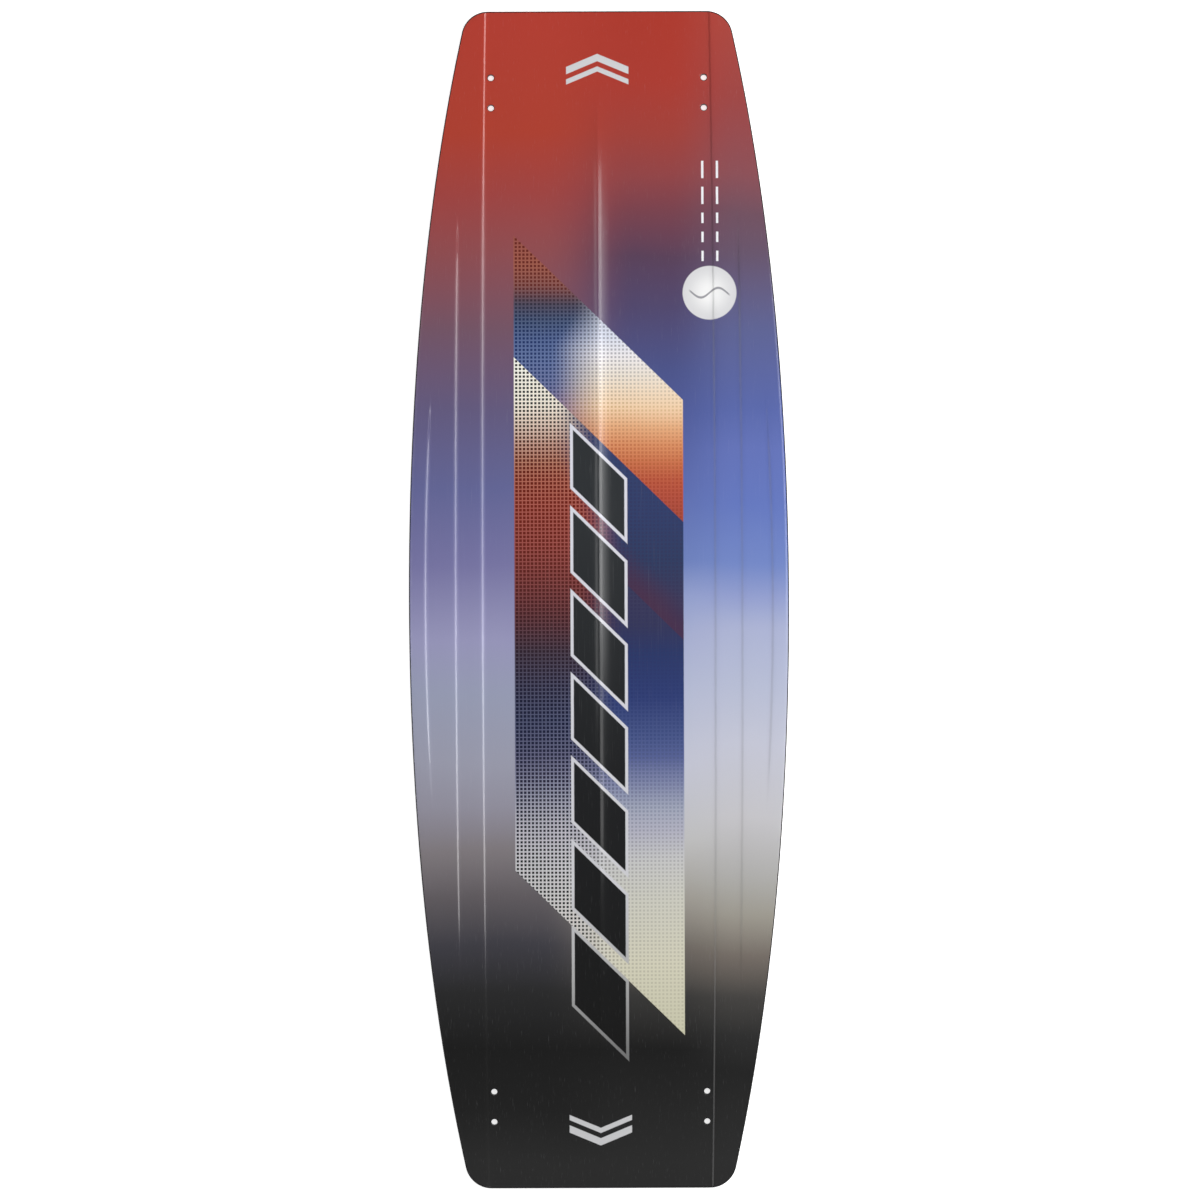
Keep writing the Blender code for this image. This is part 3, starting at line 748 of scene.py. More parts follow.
def slantedBand(tree, x, y, diagonal, bandY):
    # three stripes, with fades for the pale lines and for the dots, and the mask of the whole band
    spec = basePrint
    soft = spec["edgeSoftness"]
    toWarm = fade(tree, drifting(tree, x, y, spec["warmDrift"], "SUBTRACT"), *spec["coolToWarm"])
    toRight = fade(tree, drifting(tree, x, y, spec["rightDrift"], "ADD"), *spec["leftToRight"])
    third, second = spec["thirdDiagonal"], spec["secondDiagonal"]
    tinge = inside(tree, diagonal, third, third + spec["tingeWidth"], 1.2)
    fading = fade(tree, diagonal, third, third + spec["tingeFade"], 0.5, 0.0)
    tinge = calc(tree, "MULTIPLY", calc(tree, "MULTIPLY", tinge, fading), fade(tree, x, *spec["tingeStart"]))
    aboveSecond = fade(tree, diagonal, second - 0.5, second + 0.5)
    stripes = []
    for part in ("Lines", "Dots"):
        top = fadeBetween(tree, part, bandY, toWarm, "cool", "warm")
        low = fadeBetween(tree, part, bandY, toRight, "left", "right")
        low = mixed(tree, tinge, low, paint(spec["tinge"]))
        stripes.append(mixed(tree, aboveSecond, low, top))
    middle = inside(tree, y, *spec["growthSpan"], spec["growthSoftness"])
    size = fade(tree, x, *spec["dotSpan"], *spec["dotSizes"])
    size = calc(tree, "MULTIPLY_ADD", middle, spec["dotGrowth"], size)
    depth = fade(tree, x, *spec["paleSpan"], 1.0, spec["paleDots"])
    dots = calc(tree, "MULTIPLY", halftone(tree, x, y, size), depth)
    mask = calc(tree, "MULTIPLY", inside(tree, x, -spec["bandHalfWidth"], spec["bandHalfWidth"], soft),
                inside(tree, diagonal, spec["bandFoot"], spec["bandTop"], soft))
    return mask, mixed(tree, dots, *stripes)


def withBars(tree, x, y, diagonal, colour):
    # dark leaning bars with a pale outline
    nearest = None
    for middle, half in baseMarks["bars"]:
        bar = leaningBar(tree, x, diagonal, middle, half)
        nearest = bar if nearest is None else calc(tree, "MINIMUM", nearest, bar)
    outline = baseMarks["outline"]
    outlined = fade(tree, nearest, outline - 0.5, outline + 0.5, 1.0, 0.0)
    colour = mixed(tree, outlined, colour, ramp(tree, y, baseMarks["outlineFade"]))
    return mixed(tree, fade(tree, nearest, -0.5, 0.5, 1.0, 0.0), colour, ramp(tree, y, baseMarks["barFade"]))


def withDisc(tree, x, y, colour):
    # a pale disc with a wave across it
    marks = baseMarks
    fromX = calc(tree, "SUBTRACT", x, marks["disc"][0])
    fromY = calc(tree, "SUBTRACT", y, marks["disc"][1])
    far = calc(tree, "ADD", calc(tree, "POWER", fromX, 2.0), calc(tree, "POWER", fromY, 2.0))
    far = calc(tree, "SQRT", far)
    wave = calc(tree, "SINE", calc(tree, "MULTIPLY", fromX, 2 * math.pi / marks["waveLength"]))
    wave = calc(tree, "SUBTRACT", fromY, calc(tree, "MULTIPLY", wave, marks["waveHeight"]))
    wave = fade(tree, calc(tree, "ABSOLUTE", wave), *marks["waveLine"], marks["waveStrength"], 0.0)
    wave = calc(tree, "MULTIPLY", wave, fade(tree, far, *marks["waveEnd"], 1.0, 0.0))
    inner, outer = [paint(shade) for shade in marks["discColours"]]
    disc = mixed(tree, fade(tree, far, *marks["discShade"]), inner, outer)
    disc = mixed(tree, wave, disc, paint(marks["waveColour"]))
    radius = marks["discRadius"]
    return mixed(tree, fade(tree, far, radius - 0.6, radius + 0.6, 1.0, 0.0), colour, disc)


def withTicks(tree, x, y, colour):
    # two rows of ticks
    soft = basePrint["edgeSoftness"]
    along = None
    for middle, half in baseMarks["ticks"]:
        tick = inside(tree, y, middle - half, middle + half, soft)
        along = tick if along is None else calc(tree, "ADD", along, tick)
    (low, high), width = baseMarks["tickEdges"], baseMarks["tickWidth"]
    across = calc(tree, "ADD", inside(tree, x, low, low + width, soft),
                  inside(tree, x, high - width, high, soft))
    return mixed(tree, calc(tree, "MULTIPLY", along, across), colour, paint(baseMarks["tickColour"]))


def withChevrons(tree, x, y, colour):
    # two chevrons at each tip, pointing outwards
    marks, soft = baseMarks, basePrint["edgeSoftness"]
    inwards = calc(tree, "SUBTRACT", calc(tree, "ABSOLUTE", y), marks["chevronPlace"])
    vee = calc(tree, "MULTIPLY_ADD", calc(tree, "ABSOLUTE", x), marks["chevronLean"], inwards)
    chevrons = calc(tree, "ADD", *[inside(tree, vee, low, high, soft) for low, high in marks["chevrons"]])
    across = inside(tree, x, -marks["chevronHalfWidth"], marks["chevronHalfWidth"], soft)
    return mixed(tree, calc(tree, "MULTIPLY", chevrons, across), colour, paint(marks["chevronColour"]))


def printedBase():
    # three long fades side by side, a slanted band with a halftone, dark bars and pale marks, under gloss
    material, tree, shader = newFinish("printedBase")
    place = millimetres(tree)
    x, y = partsOf(tree, place)
    smoke = calc(tree, "SUBTRACT", noise(tree, place, basePrint["smokeSize"], 1.0), 0.5)
    smokeY = calc(tree, "MULTIPLY_ADD", smoke, basePrint["smoke"], y)
    bandY = calc(tree, "MULTIPLY_ADD", smoke, basePrint["bandSmoke"], y)
    sides = ("left", "inner", "right")
    left, inner, right = [ramp(tree, smokeY, basePrint[side + "Fade"]) for side in sides]
    # the inner and right fades are lighter than the left: print, with painted sheen of the light from the
    # right
    colour = mixed(tree, fade(tree, x, *basePrint["leftToInner"]), left, inner)
    colour = mixed(tree, fade(tree, x, *basePrint["innerToRight"]), colour, right)
    diagonal = calc(tree, "MULTIPLY_ADD", x, basePrint["slant"], y)
    mask, stripes = slantedBand(tree, x, y, diagonal, bandY)
    colour = mixed(tree, mask, colour, stripes)
    colour = withBars(tree, x, y, diagonal, colour)
    colour = withDisc(tree, x, y, colour)
    colour = withTicks(tree, x, y, colour)
    colour = withChevrons(tree, x, y, colour)

    # hairline scratches along the board, dust in the gloss and the faint peel of a cast sheet
    gloss = baseGloss
    streaks = millimetres(tree, gloss["scratchSize"])
    scratches = fade(tree, noise(tree, streaks, 1.0, 3.0), *gloss["scratches"])
    smudges = noise(tree, place, gloss["smudgeSize"], 4.0, 0.6)
    shine = calc(tree, "MULTIPLY_ADD", smudges, gloss["smudgeRoughness"], gloss["roughness"])
    shine = calc(tree, "MULTIPLY_ADD", scratches, gloss["scratchRoughness"], shine)
    tree.links.new(shine, shader.inputs["Roughness"])
    pale = calc(tree, "MULTIPLY", scratches, gloss["scratchAmount"])
    colour = mixed(tree, pale, colour, paint(gloss["scratchColour"]))
    tree.links.new(colour, shader.inputs["Base Color"])
    peel = noise(tree, place, gloss["peelSize"], 1.0)
    bumps(tree, shader, (peel, gloss["peelDepth"]), (scratches, -gloss["scratchDepth"]))
    shader.inputs["Specular IOR Level"].default_value = gloss["specularLevel"]
    return material


# millimetres, but metres for the depths of bumps
deckLook = {
    "smokeSize": 180,
    "smoke": 60.0,
    "fade": [(-640, (30, 31, 33)), (120, (38, 39, 42)), (360, (58, 48, 64)), (500, (118, 58, 56)),
             (660, (150, 56, 44))],
    "twillPitch": 5.6,
    "twillShade": (214, 214, 214),
    "footing": (200, 360),       # where feet stand: span along, half width, and the softness of its edges
    "footingHalfWidth": 110,
    "footingSoftness": 60,
    "rubSize": 22,
    "rubAmount": 0.16,
    "rubColour": (120, 120, 122),
    "rubRoughness": 0.3,
    "roughness": 0.36,
    "grainSize": 0.9,
    "grainDepth": 0.00002,
    "twillDepth": 0.00001,
}
railLook = {
    "cutterSize": (60, 60, 0.18),
    "cutterDepth": 0.00003,
    "grainSize": 0.5,
    "grainDepth": 0.00002,
    "rubSize": 14,
    "rubs": (0.6, 0.78),
    "colours": [(22, 22, 24), (46, 46, 48)],
    "rubRoughness": 0.16,
    "roughness": 0.42,
}
plugLook = {
    "flowSize": 4.0,
    "colours": [(24, 24, 26), (38, 38, 41)],
    "flowRoughness": 0.18,
    "roughness": 0.36,
    "sparkSize": 0.35,
    "sparkDepth": 0.000015,
}
steelLook = {
    "linesPerMillimetre": 9.0,
    "lineDepth": 0.000012,
    "dullSize": 3.5,
    "colours": [(196, 196, 194), (158, 157, 155)],
    "dullRoughness": 0.26,
    "roughness": 0.18,
}
glassLook = {
    "strandPair": 1.6,
    "hollowShade": 0.84,         # of the colour between the strands
    "poolSize": 11,
    "poolAmount": 0.35,
    "poolColour": (196, 188, 158),
    "poolRoughness": 0.25,
    "roughness": 0.22,
    "weaveDepth": 0.00004,
    "poolDepth": 0.00002,
}
woodLook = {
    "stretch": 14,               # of the grain along the board
    "offset": (37.0, 11.0),      # from one strip to the next
    "warpSize": 26,
    "warpAmount": 0.3,
    "warpColour": (230, 208, 172),
    "ringScale": 0.09,
    "ringDistortion": 5.0,
    "poreSize": (0.35, 12, 0.35),
    "pores": (0.6, 0.75),
    "poreAmount": 0.5,
    "poreColour": (120, 88, 58),
    "poreRoughness": 0.15,
    "roughness": 0.55,
    "poreDepth": 0.00004,
    "ringDepth": 0.00002,
    "earlyWood": (214, 188, 148),
    "lateWood": (178, 142, 100),
    "tones": 3,
    "toneStep": 0.05,
}


def deckPrint():
    # charcoal twill under a satin coat, with a warm fade at the nose and a rubbed patch under each foot
    material, tree, shader = newFinish("deckPrint")
    place = millimetres(tree)
    x, y = partsOf(tree, place)
    look = deckLook
    smoke = calc(tree, "SUBTRACT", noise(tree, place, look["smokeSize"], 1.0), 0.5)
    colour = ramp(tree, calc(tree, "MULTIPLY_ADD", smoke, look["smoke"], y), look["fade"])
    weave = []
    for lean in (1.0, -1.0):
        diagonal = calc(tree, "DIVIDE", calc(tree, "MULTIPLY_ADD", x, lean, y), look["twillPitch"])
        weave.append(calc(tree, "ABSOLUTE", calc(tree, "SUBTRACT", calc(tree, "FRACT", diagonal), 0.5)))
    twill = fade(tree, calc(tree, "SUBTRACT", weave[0], weave[1]), -0.3, 0.3)
    shade = mixed(tree, twill, paint(look["twillShade"]), paint((255, 255, 255)))
    colour = mixed(tree, 1.0, colour, shade, "MULTIPLY")
    wide, soft = look["footingHalfWidth"], look["footingSoftness"]
    worn = calc(tree, "MULTIPLY", inside(tree, calc(tree, "ABSOLUTE", y), *look["footing"], soft),
                inside(tree, x, -wide, wide, soft))
    rub = calc(tree, "MULTIPLY", worn, noise(tree, place, look["rubSize"], 5.0, 0.7))
    colour = mixed(tree, calc(tree, "MULTIPLY", rub, look["rubAmount"]), colour, paint(look["rubColour"]))
    tree.links.new(colour, shader.inputs["Base Color"])
    shine = calc(tree, "MULTIPLY_ADD", rub, look["rubRoughness"], look["roughness"])
    tree.links.new(shine, shader.inputs["Roughness"])
    grain = noise(tree, place, look["grainSize"], 2.0)
    bumps(tree, shader, (grain, look["grainDepth"]), (twill, look["twillDepth"]))
    return material


def railPlastic():
    # black milled plastic: fine cutter lines along the edge, a faint grain and pale rubs
    material, tree, shader = newFinish("railPlastic")
    look = railLook
    place = millimetres(tree)
    lines = noise(tree, millimetres(tree, look["cutterSize"]), 1.0, 2.0)
    grain = noise(tree, place, look["grainSize"], 3.0, 0.6)
    rubs = fade(tree, noise(tree, place, look["rubSize"], 6.0, 0.72), *look["rubs"])
    colour = mixed(tree, rubs, *[paint(colour) for colour in look["colours"]])
    tree.links.new(colour, shader.inputs["Base Color"])
    shine = calc(tree, "MULTIPLY_ADD", rubs, look["rubRoughness"], look["roughness"])
    tree.links.new(shine, shader.inputs["Roughness"])
    bumps(tree, shader, (lines, look["cutterDepth"]), (grain, look["grainDepth"]))
    return material


def plugPlastic():
    # dense moulded plastic with a spark-eroded grain and faint flow marks
    material, tree, shader = newFinish("plugPlastic")
    look = plugLook
    place = millimetres(tree)
    flow = noise(tree, place, look["flowSize"], 3.0)
    colour = mixed(tree, flow, *[paint(colour) for colour in look["colours"]])
    tree.links.new(colour, shader.inputs["Base Color"])
    shine = calc(tree, "MULTIPLY_ADD", flow, look["flowRoughness"], look["roughness"])
    tree.links.new(shine, shader.inputs["Roughness"])
    bumps(tree, shader, (noise(tree, place, look["sparkSize"], 2.0), look["sparkDepth"]))
    return material


def turnedSteel():
    # stainless steel from the lathe: tool lines run round the piece, dulled in patches
    material, tree, shader = newFinish("turnedSteel")
    look = steelLook
    shader.inputs["Metallic"].default_value = 1.0
    marks = tree.nodes.new("ShaderNodeAttribute")
    marks.attribute_name = "profileWay"
    lines = tree.nodes.new("ShaderNodeTexNoise")
    lines.noise_dimensions = "1D"
    lines.inputs["Scale"].default_value = look["linesPerMillimetre"]
    lines.inputs["Detail"].default_value = 2.0
    tree.links.new(marks.outputs["Fac"], lines.inputs["W"])
    dull = noise(tree, millimetres(tree), look["dullSize"], 4.0, 0.6)
    colour = mixed(tree, dull, *[paint(colour) for colour in look["colours"]])
    tree.links.new(colour, shader.inputs["Base Color"])
    shine = calc(tree, "MULTIPLY_ADD", dull, look["dullRoughness"], look["roughness"])
    tree.links.new(shine, shader.inputs["Roughness"])
    bumps(tree, shader, (lines.outputs["Fac"], look["lineDepth"]))
    return material


def glassLayer(name, tint):
    # woven glass set in resin: the sine across times the sine along, with resin pools between the strands
    material, tree, shader = newFinish(name)
    look = glassLook
    place = millimetres(tree)
    strands = []
    for part in partsOf(tree, place):
        turn = calc(tree, "MULTIPLY", part, 2 * math.pi / look["strandPair"])
        strands.append(calc(tree, "SINE", turn))
    weave = calc(tree, "MULTIPLY_ADD", calc(tree, "MULTIPLY", *strands), 0.5, 0.5)
    resin = noise(tree, place, look["poolSize"], 4.0, 0.6)
    hollow = [part * look["hollowShade"] for part in tint]
    colour = mixed(tree, weave, paint(hollow), paint(tint))
    pools = calc(tree, "MULTIPLY", resin, look["poolAmount"])
    colour = mixed(tree, pools, colour, paint(look["poolColour"]))
    tree.links.new(colour, shader.inputs["Base Color"])
    shine = calc(tree, "MULTIPLY_ADD", resin, look["poolRoughness"], look["roughness"])
    tree.links.new(shine, shader.inputs["Roughness"])
    bumps(tree, shader, (weave, look["weaveDepth"]), (resin, look["poolDepth"]))
    return material


def stripWood(number):
    # pale paulownia sawn along the board: drawn-out growth rings, fine pores and one of three tones
    material, tree, shader = newFinish("stripWood" + str(number))
    look = woodLook
    across, along = look["offset"]
    place = millimetres(tree, (1, look["stretch"], 1), (number * across, number * along, 0))
    warp = noise(tree, place, look["warpSize"], 3.0)
    rings = tree.nodes.new("ShaderNodeTexWave")
    rings.wave_type = "RINGS"
    rings.rings_direction = "Y"
    rings.inputs["Scale"].default_value = look["ringScale"]
    rings.inputs["Distortion"].default_value = look["ringDistortion"]
    rings.inputs["Detail"].default_value = 2.0
    rings.inputs["Detail Scale"].default_value = 0.6
    tree.links.new(place, rings.inputs["Vector"])
    pores = fade(tree, noise(tree, millimetres(tree, look["poreSize"]), 1.0, 2.0), *look["pores"])
    tone = 1 - look["toneStep"] * (number % look["tones"])
    early = [part * tone for part in look["earlyWood"]]
    late = [part * tone for part in look["lateWood"]]
    colour = mixed(tree, rings.outputs["Fac"], paint(early), paint(late))
    warm = calc(tree, "MULTIPLY", warp, look["warpAmount"])
    colour = mixed(tree, warm, colour, paint(look["warpColour"]))
    dark = calc(tree, "MULTIPLY", pores, look["poreAmount"])
    colour = mixed(tree, dark, colour, paint(look["poreColour"]))
    tree.links.new(colour, shader.inputs["Base Color"])
    shine = calc(tree, "MULTIPLY_ADD", pores, look["poreRoughness"], look["roughness"])
    tree.links.new(shine, shader.inputs["Roughness"])
    bumps(tree, shader, (pores, -look["poreDepth"]), (rings.outputs["Fac"], look["ringDepth"]))
    return material


finishes = {
    "base": printedBase(),
    "deck": deckPrint(),
    "rail": railPlastic(),
    "plug": plugPlastic(),
    "steel": turnedSteel(),
    "glass": glassLayer("glassLaminate", (206, 208, 190)),
    "patch": glassLayer("patchLaminate", (190, 200, 184)),
}
print("finishes ready")


# where the holes and the inserts stand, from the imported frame

def middleOf(node):
    low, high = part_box(node)
    return (Vector(low) + Vector(high)) / 2


def meets(point, axis, surface):
    # where the line through a point along an axis crosses a height function
    for _ in range(8):
        point = point + axis * ((float(surface(point.x, point.y)) - point.z) / axis.z)
    return point


def plugPlaces():
    places = {}
    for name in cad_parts:
        if "fin_plug" in name:
            centre = middleOf(name)
            places[name] = centre, normalOf(baseHeight, centre.x, centre.y)
    return places


def insertPlaces():
    # the insert's mouth on the deck, its outward axis and its length
    places = {}
    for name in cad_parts:
        if name.endswith("_patch") or "_insert_" not in name:
            continue
        low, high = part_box(name)
        centre = middleOf(name)
        axis = -normalOf(deckHeight, centre.x, centre.y)
        lean = math.hypot(axis.x, axis.y)
        length = (high[2] - low[2] - (steelInsert["neck"] + steelInsert["body"]) / 1000 * lean) / abs(axis.z)
        places[name] = meets(centre, axis, deckHeight), axis, length
    return places


finPlug = {                      # millimetres
    "collar": 4.0,
    "recess": 0.15,              # of the collar below either face of the board
    "flange": 8.0,
    "skinDepth": 1.8,
    "bore": 3.5,
    "chamfer": 0.3,
    "collarEdge": 0.05,
    "flangeEdge": 0.1,
    "sides": 72,
}
steelInsert = {                  # millimetres
    "neck": 5.5,
    "flange": 7.5,
    "flangeDepth": 2.5,
    "flangeThickness": 1.2,
    "body": 4.75,
    "bore": 2.5,
    "chamfer": 0.55,
    "neckEdge": 0.15,
    "flangeEdge": 0.1,
    "bodyEdge": 0.2,
    "endWall": 1.0,
    "threadPitch": 1.0,
    "threadDepth": 0.5,
    "rowsPerPitch": 8,
    "sides": 40,
}
baseSheet = {                    # metres, as are the other layouts; columns are counts between creases
    "sideRows": 230, "cornerRows": 18, "inset": 0.0012, "edgeRadius": 0.00015, "thickness": 0.0005,
    "columns": [6, 11, 22, 5, 7, 5, 8, 5, 5], "holeMargin": 0.0022, "holeShare": 4, "finHole": 0.0041,
}
baseLaminate = {
    "sideRows": 120, "cornerRows": 14, "inset": 0.0013, "edgeRadius": 0.00015,
    "top": 0.0008, "bottom": 0.0015,
    "columns": [2, 4, 10, 4, 4, 4, 5, 4, 4], "holeMargin": 0.004, "holeShare": 8, "finHole": 0.0041,
}
deckSheet = {
    "sideRows": 200, "cornerRows": 16, "inset": 0.0030, "edgeRadius": 0.0002, "thickness": 0.0005,
    "evenColumns": 36, "holeMargin": 0.002, "holeShare": 5, "finHole": 0.0041, "neckHole": 0.0058,
}
deckLaminate = {
    "sideRows": 110, "cornerRows": 12, "inset": 0.0022, "edgeRadius": 0.0002,
    "top": 0.0015, "bottom": 0.0008,
    "evenColumns": 24, "holeMargin": 0.003, "holeShare": 6, "finHole": 0.0041, "neckHole": 0.0058,
}
rails = {
    "joint": 0.635,              # where the tip rails take over from the side rails
    "gap": 0.0003,
    "sideStations": 260, "tipStations": 14, "cornerStations": 22, "endStations": 60,
    "width": 0.012,
    "skinDepth": 0.00185,        # of the step on which base sheet and glass end, and the deck's
    "baseLip": 0.00105,          # width of the lips outside the sheets
    "deckLip": 0.0021,
    "deckSheetDepth": 0.00075,
    "deckBevel": 0.0026,         # height of the bevel on the deck's edge
}


def finished(piece, node):
    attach(piece, "root")
    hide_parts(node)


def drilled(layout, upper, lower):
    # a round hole for each plug, and for each insert in a plate that has necks through it, where its axis
    # meets the plate's two faces
    lines = [(layout["finHole"], centre, axis) for centre, axis in plugs.values()]
    if "neckHole" in layout:
        lines += [(layout["neckHole"], mouth, axis) for mouth, axis, length in inserts.values()]
    holes = []
    for radius, point, axis in lines:
        high, low = meets(point, axis, upper), meets(point, axis, lower)
        holes.append({"radius": radius, "upper": (high.x, high.y), "lower": (low.x, low.y)})
    return holes


plugs = plugPlaces()
inserts = insertPlaces()
print(len(plugs), "fin holes and", len(inserts), "inserts")


# base skin, deck skin and the glass under them

def belowBase(depth):
    return lambda x, y: baseHeight(x, y) - depth


def aboveDeck(depth):
    return lambda x, y: deckHeight(x, y) + depth


def skin(name, layout, upper, lower, finish, node):
    plate = platePiece(name, layout, upper, lower, drilled(layout, upper, lower), finishes[finish])
    finished(plate, node)


skin("printedBaseSheet", baseSheet, printedHeight, belowBase(baseSheet["thickness"]),
     "base", "base_sheet")
skin("baseGlass", baseLaminate, belowBase(baseLaminate["top"]), belowBase(baseLaminate["bottom"]),
     "glass", "base_laminate")
skin("deckSkin", deckSheet, aboveDeck(deckSheet["thickness"]), deckHeight,
     "deck", "deck_sheet")
skin("deckGlass", deckLaminate, aboveDeck(deckLaminate["top"]), aboveDeck(deckLaminate["bottom"]),
     "glass", "deck_laminate")


# rails: one along each side and one round each tip

halfEdge = boardShape["edgeThickness"] / 2
railShoulder = halfEdge - rails["skinDepth"]
railProfile = [                  # inset, height, radius of the corner
    (0.0, halfEdge, 0.0004),
    (rails["baseLip"], halfEdge, 0.0001),
    (rails["baseLip"], railShoulder, 0.0001),
    (rails["width"], railShoulder, 0.0002),
    (rails["width"], -railShoulder, 0.0002),
    (rails["deckLip"], -railShoulder, 0.0001),
    (rails["deckLip"], -halfEdge + rails["deckSheetDepth"], 0.0002),
    (0.0, -halfEdge + rails["deckBevel"], 0.0008),
]


def sideStations(side):
    y = np.linspace(-rails["joint"], rails["joint"], rails["sideStations"])
    outX, outY = sideNormalAt(y)
    return side * halfWidthAt(y), y, side * outX, outY


def tipStations(end):
    # from the joint on the right, round the corner, along the end line and back down the left
    y = np.linspace(rails["joint"] + rails["gap"], cornerTouch, rails["tipStations"])
    x = halfWidthAt(y)
    outX, outY = sideNormalAt(y)
    radius = boardShape["cornerRadius"]
    centreX, centreY = x[-1] - radius * outX[-1], y[-1] - radius * outY[-1]
    angle = np.linspace(math.atan2(outY[-1], outX[-1]), math.pi / 2, rails["cornerStations"])[1:]
    straight = np.linspace(centreX, 0, rails["endStations"] // 2 + 1)[1:]
    flat = np.ones(len(straight))
    rightX = np.concatenate([x, centreX + radius * np.cos(angle), straight])
    rightY = np.concatenate([y, centreY + radius * np.sin(angle), flat * halfLength])
    normalX = np.concatenate([outX, np.cos(angle), 0 * flat])
    normalY = np.concatenate([outY, np.sin(angle), flat])
    allX = np.concatenate([rightX, -rightX[-2::-1]])
    allY = np.concatenate([rightY, rightY[-2::-1]])
    allNormalX = np.concatenate([normalX, -normalX[-2::-1]])
    allNormalY = np.concatenate([normalY, normalY[-2::-1]])
    return allX, end * allY, allNormalX, end * allNormalY


for name, node, stations in (
    ("leftRail", "left_rail", sideStations(-1)), ("rightRail", "right_rail", sideStations(1)),
    ("noseRail", "nose_rail", tipStations(1)), ("tailRail", "tail_rail", tipStations(-1)),
):
    finished(sweptRail(name, stations, railProfile, finishes["rail"]), node)


# fin plugs and threaded inserts

def plugProfile(up, down):
    # collar, flange and bore, from the outer rim of the base collar down, up the bore and back; up and down
    # are the heights of the board's two faces over the plug's centre, in metres
    spec = {name: value / 1000 for name, value in finPlug.items()}
    top, bottom = up - spec["recess"], down + spec["recess"]
    collar, flange, bore, cut = spec["collar"], spec["flange"], spec["bore"], spec["chamfer"]
    flangeTop, flangeBottom = up - spec["skinDepth"], down + spec["skinDepth"]
    fine, coarse = spec["collarEdge"], spec["flangeEdge"]
    return [
        (collar, top - fine), (collar, flangeTop),
        (flange - coarse, flangeTop), (flange, flangeTop - coarse),
        (flange, flangeBottom + coarse), (flange - coarse, flangeBottom), (collar, flangeBottom),
        (collar, bottom + fine), (collar - fine, bottom), (bore + cut, bottom), (bore, bottom + cut),
        (bore, 0.0), (bore, top - cut), (bore + cut, top), (collar - fine, top),
    ]


for name, (centre, axis) in plugs.items():
    up = (meets(centre, axis, baseHeight) - centre).dot(axis)
    down = (meets(centre, axis, deckHeight) - centre).dot(axis)
    piece = turnedPiece("finPlug_" + name.replace("_fin_plug", ""), centre, axis, plugProfile(up, down),
                        finPlug["sides"], finishes["plug"])
    finished(piece, name)


def insertProfile(length):
    # bore floor, threaded wall, chamfered mouth, neck, flange and body, down to the closed end; the deck
    # is at 0
    spec = {name: value / 1000 for name, value in steelInsert.items()}
    bore, neck, flange, body = spec["bore"], spec["neck"], spec["flange"], spec["body"]
    floor = -length + spec["endWall"]
    count = int((-floor - spec["chamfer"]) / spec["threadPitch"] * steelInsert["rowsPerPitch"])
    wall = np.linspace(floor, -spec["chamfer"], count)
    top = -spec["flangeDepth"]
    foot = top - spec["flangeThickness"]
    edge = spec["flangeEdge"]
    return (
        [(0, floor), (bore - edge, floor)] + [(bore, float(height)) for height in wall]
        + [(bore + spec["chamfer"], 0), (neck - spec["neckEdge"], 0), (neck, -spec["neckEdge"])]
        + [(neck, top), (flange - edge, top), (flange, top - edge)]
        + [(flange, foot + edge), (flange - edge, foot), (body, foot)]
        + [(body, -length + spec["bodyEdge"]), (body - spec["bodyEdge"], -length), (0, -length)]
    )


for name, (mouth, axis, length) in inserts.items():
    spec = {part: value / 1000 for part, value in steelInsert.items()}
    thread = {"low": -length + spec["endWall"], "high": -spec["chamfer"], "pitch": spec["threadPitch"],
              "radius": spec["bore"], "depth": spec["threadDepth"]}
    piece = turnedPiece("threadedInsert_" + name.replace("_insert", ""), mouth, axis, insertProfile(length),
                        steelInsert["sides"], finishes["steel"], thread)
    finished(piece, name)
print("plugs and inserts turned")


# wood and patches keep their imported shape

for name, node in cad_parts.items():
    if name.startswith("core_strip"):
        finish = stripWood(int(name.rsplit("_", 1)[1]))
    elif name.endswith("_insert_patch"):
        finish = finishes["patch"]
    else:
        continue
    node.data.materials.clear()
    node.data.materials.append(finish)
print("core and patches finished")


# floor, light and camera

studio = {
    "floorSize": 60.0,
    "floorDrop": 0.0015,
    "floorGlow": 0.75,
    "worldLevel": 0.18,
    "lights": [                  # name, place, size across and along, watts
        ("mainSoftbox", (2.3, 0.9, 2.2), 1.2, 3.4, 114),
        ("leftFill", (-2.6, -0.9, 2.4), 1.2, 3.4, 32),
        ("ridgeStrip", (1.72, 1.00, 8.0), 0.40, 2.30, 34),
        ("ridgeTail", (1.72, -0.70, 8.0), 0.40, 1.20, 7),
        ("ridgeEdge", (1.34, 0.80, 8.0), 0.30, 2.3, 9),
        ("ridgeHaze", (1.02, 0.80, 8.0), 0.34, 2.3, 4),
        ("ridgeFill", (-1.70, 0.80, 8.0), 0.30, 2.6, 9),
    ],
    "cameraHeight": 12.0,
    "frameWidth": 1.3867,        # of what the camera takes in, at the height of the tips
    "cameraShift": (0.0011, -0.0004),
    "cameraTurn": -0.20,
}


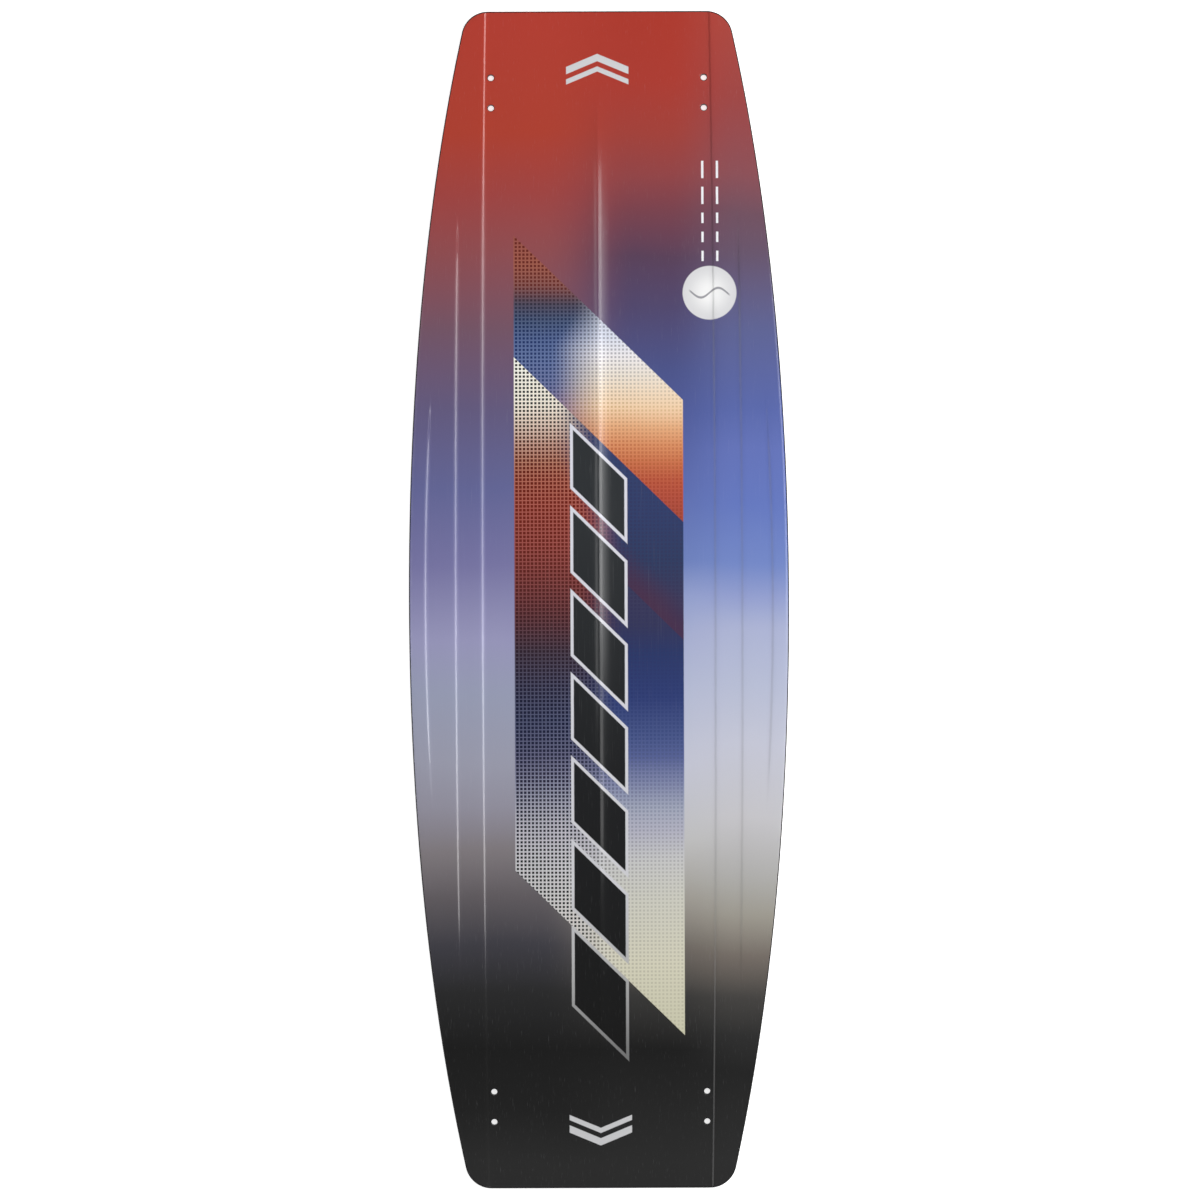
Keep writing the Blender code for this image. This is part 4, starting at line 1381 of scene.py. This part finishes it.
def floorFinish():
    material, tree, shader = newFinish("paleFloor")
    shader.inputs["Roughness"].default_value = 0.7
    mottle = noise(tree, millimetres(tree), 300, 2.0)
    colour = mixed(tree, mottle, paint((243, 243, 243)), paint((247, 247, 247)))
    tree.links.new(colour, shader.inputs["Base Color"])
    shader.inputs["Emission Color"].default_value = (1, 1, 1, 1)
    shader.inputs["Emission Strength"].default_value = studio["floorGlow"]
    return material


def paleFloor():
    # a flat grid, just under the board's tips
    side = np.linspace(-studio["floorSize"] / 2, studio["floorSize"] / 2, 9)
    x, y = np.meshgrid(side, side)
    stock = MeshStock()
    stock.sheet(stock.add(x, y, 0 * x - studio["floorDrop"]))
    stock.build("paleFloor", floorFinish())


def aimed(thing, place, target):
    thing.location = place
    thing.rotation_euler = (Vector(target) - Vector(place)).to_track_quat("-Z", "Y").to_euler()
    bpy.context.scene.collection.objects.link(thing)


def softLights():
    for name, place, across, along, power in studio["lights"]:
        light = bpy.data.lights.new(name, "AREA")
        light.shape = "RECTANGLE"
        light.size = along       # its first side lies along the board once it is aimed
        light.size_y = across
        light.energy = power
        lamp = bpy.data.objects.new(name, light)
        lamp.visible_camera = False
        aimed(lamp, place, (0, place[1], 0))
    world = bpy.data.worlds.new("studioAir")
    world.use_nodes = True
    background = world.node_tree.nodes["Background"]
    background.inputs["Color"].default_value = (1, 1, 1, 1)
    background.inputs["Strength"].default_value = studio["worldLevel"]
    bpy.context.scene.world = world


def overheadCamera():
    # straight above the board, far enough for an almost flat view
    camera = bpy.data.cameras.new("overhead")
    tips = float(baseHeight(0.0, halfLength))
    camera.lens = camera.sensor_width * (studio["cameraHeight"] - tips) / studio["frameWidth"]
    camera.clip_end = 100
    eye = bpy.data.objects.new("overhead", camera)
    eye.location = (*studio["cameraShift"], studio["cameraHeight"])
    eye.rotation_euler = (0, 0, math.radians(studio["cameraTurn"]))
    bpy.context.scene.collection.objects.link(eye)
    bpy.context.scene.camera = eye


paleFloor()
softLights()
overheadCamera()
bpy.context.scene.view_settings.view_transform = "Standard"
print("floor, lights and camera placed")
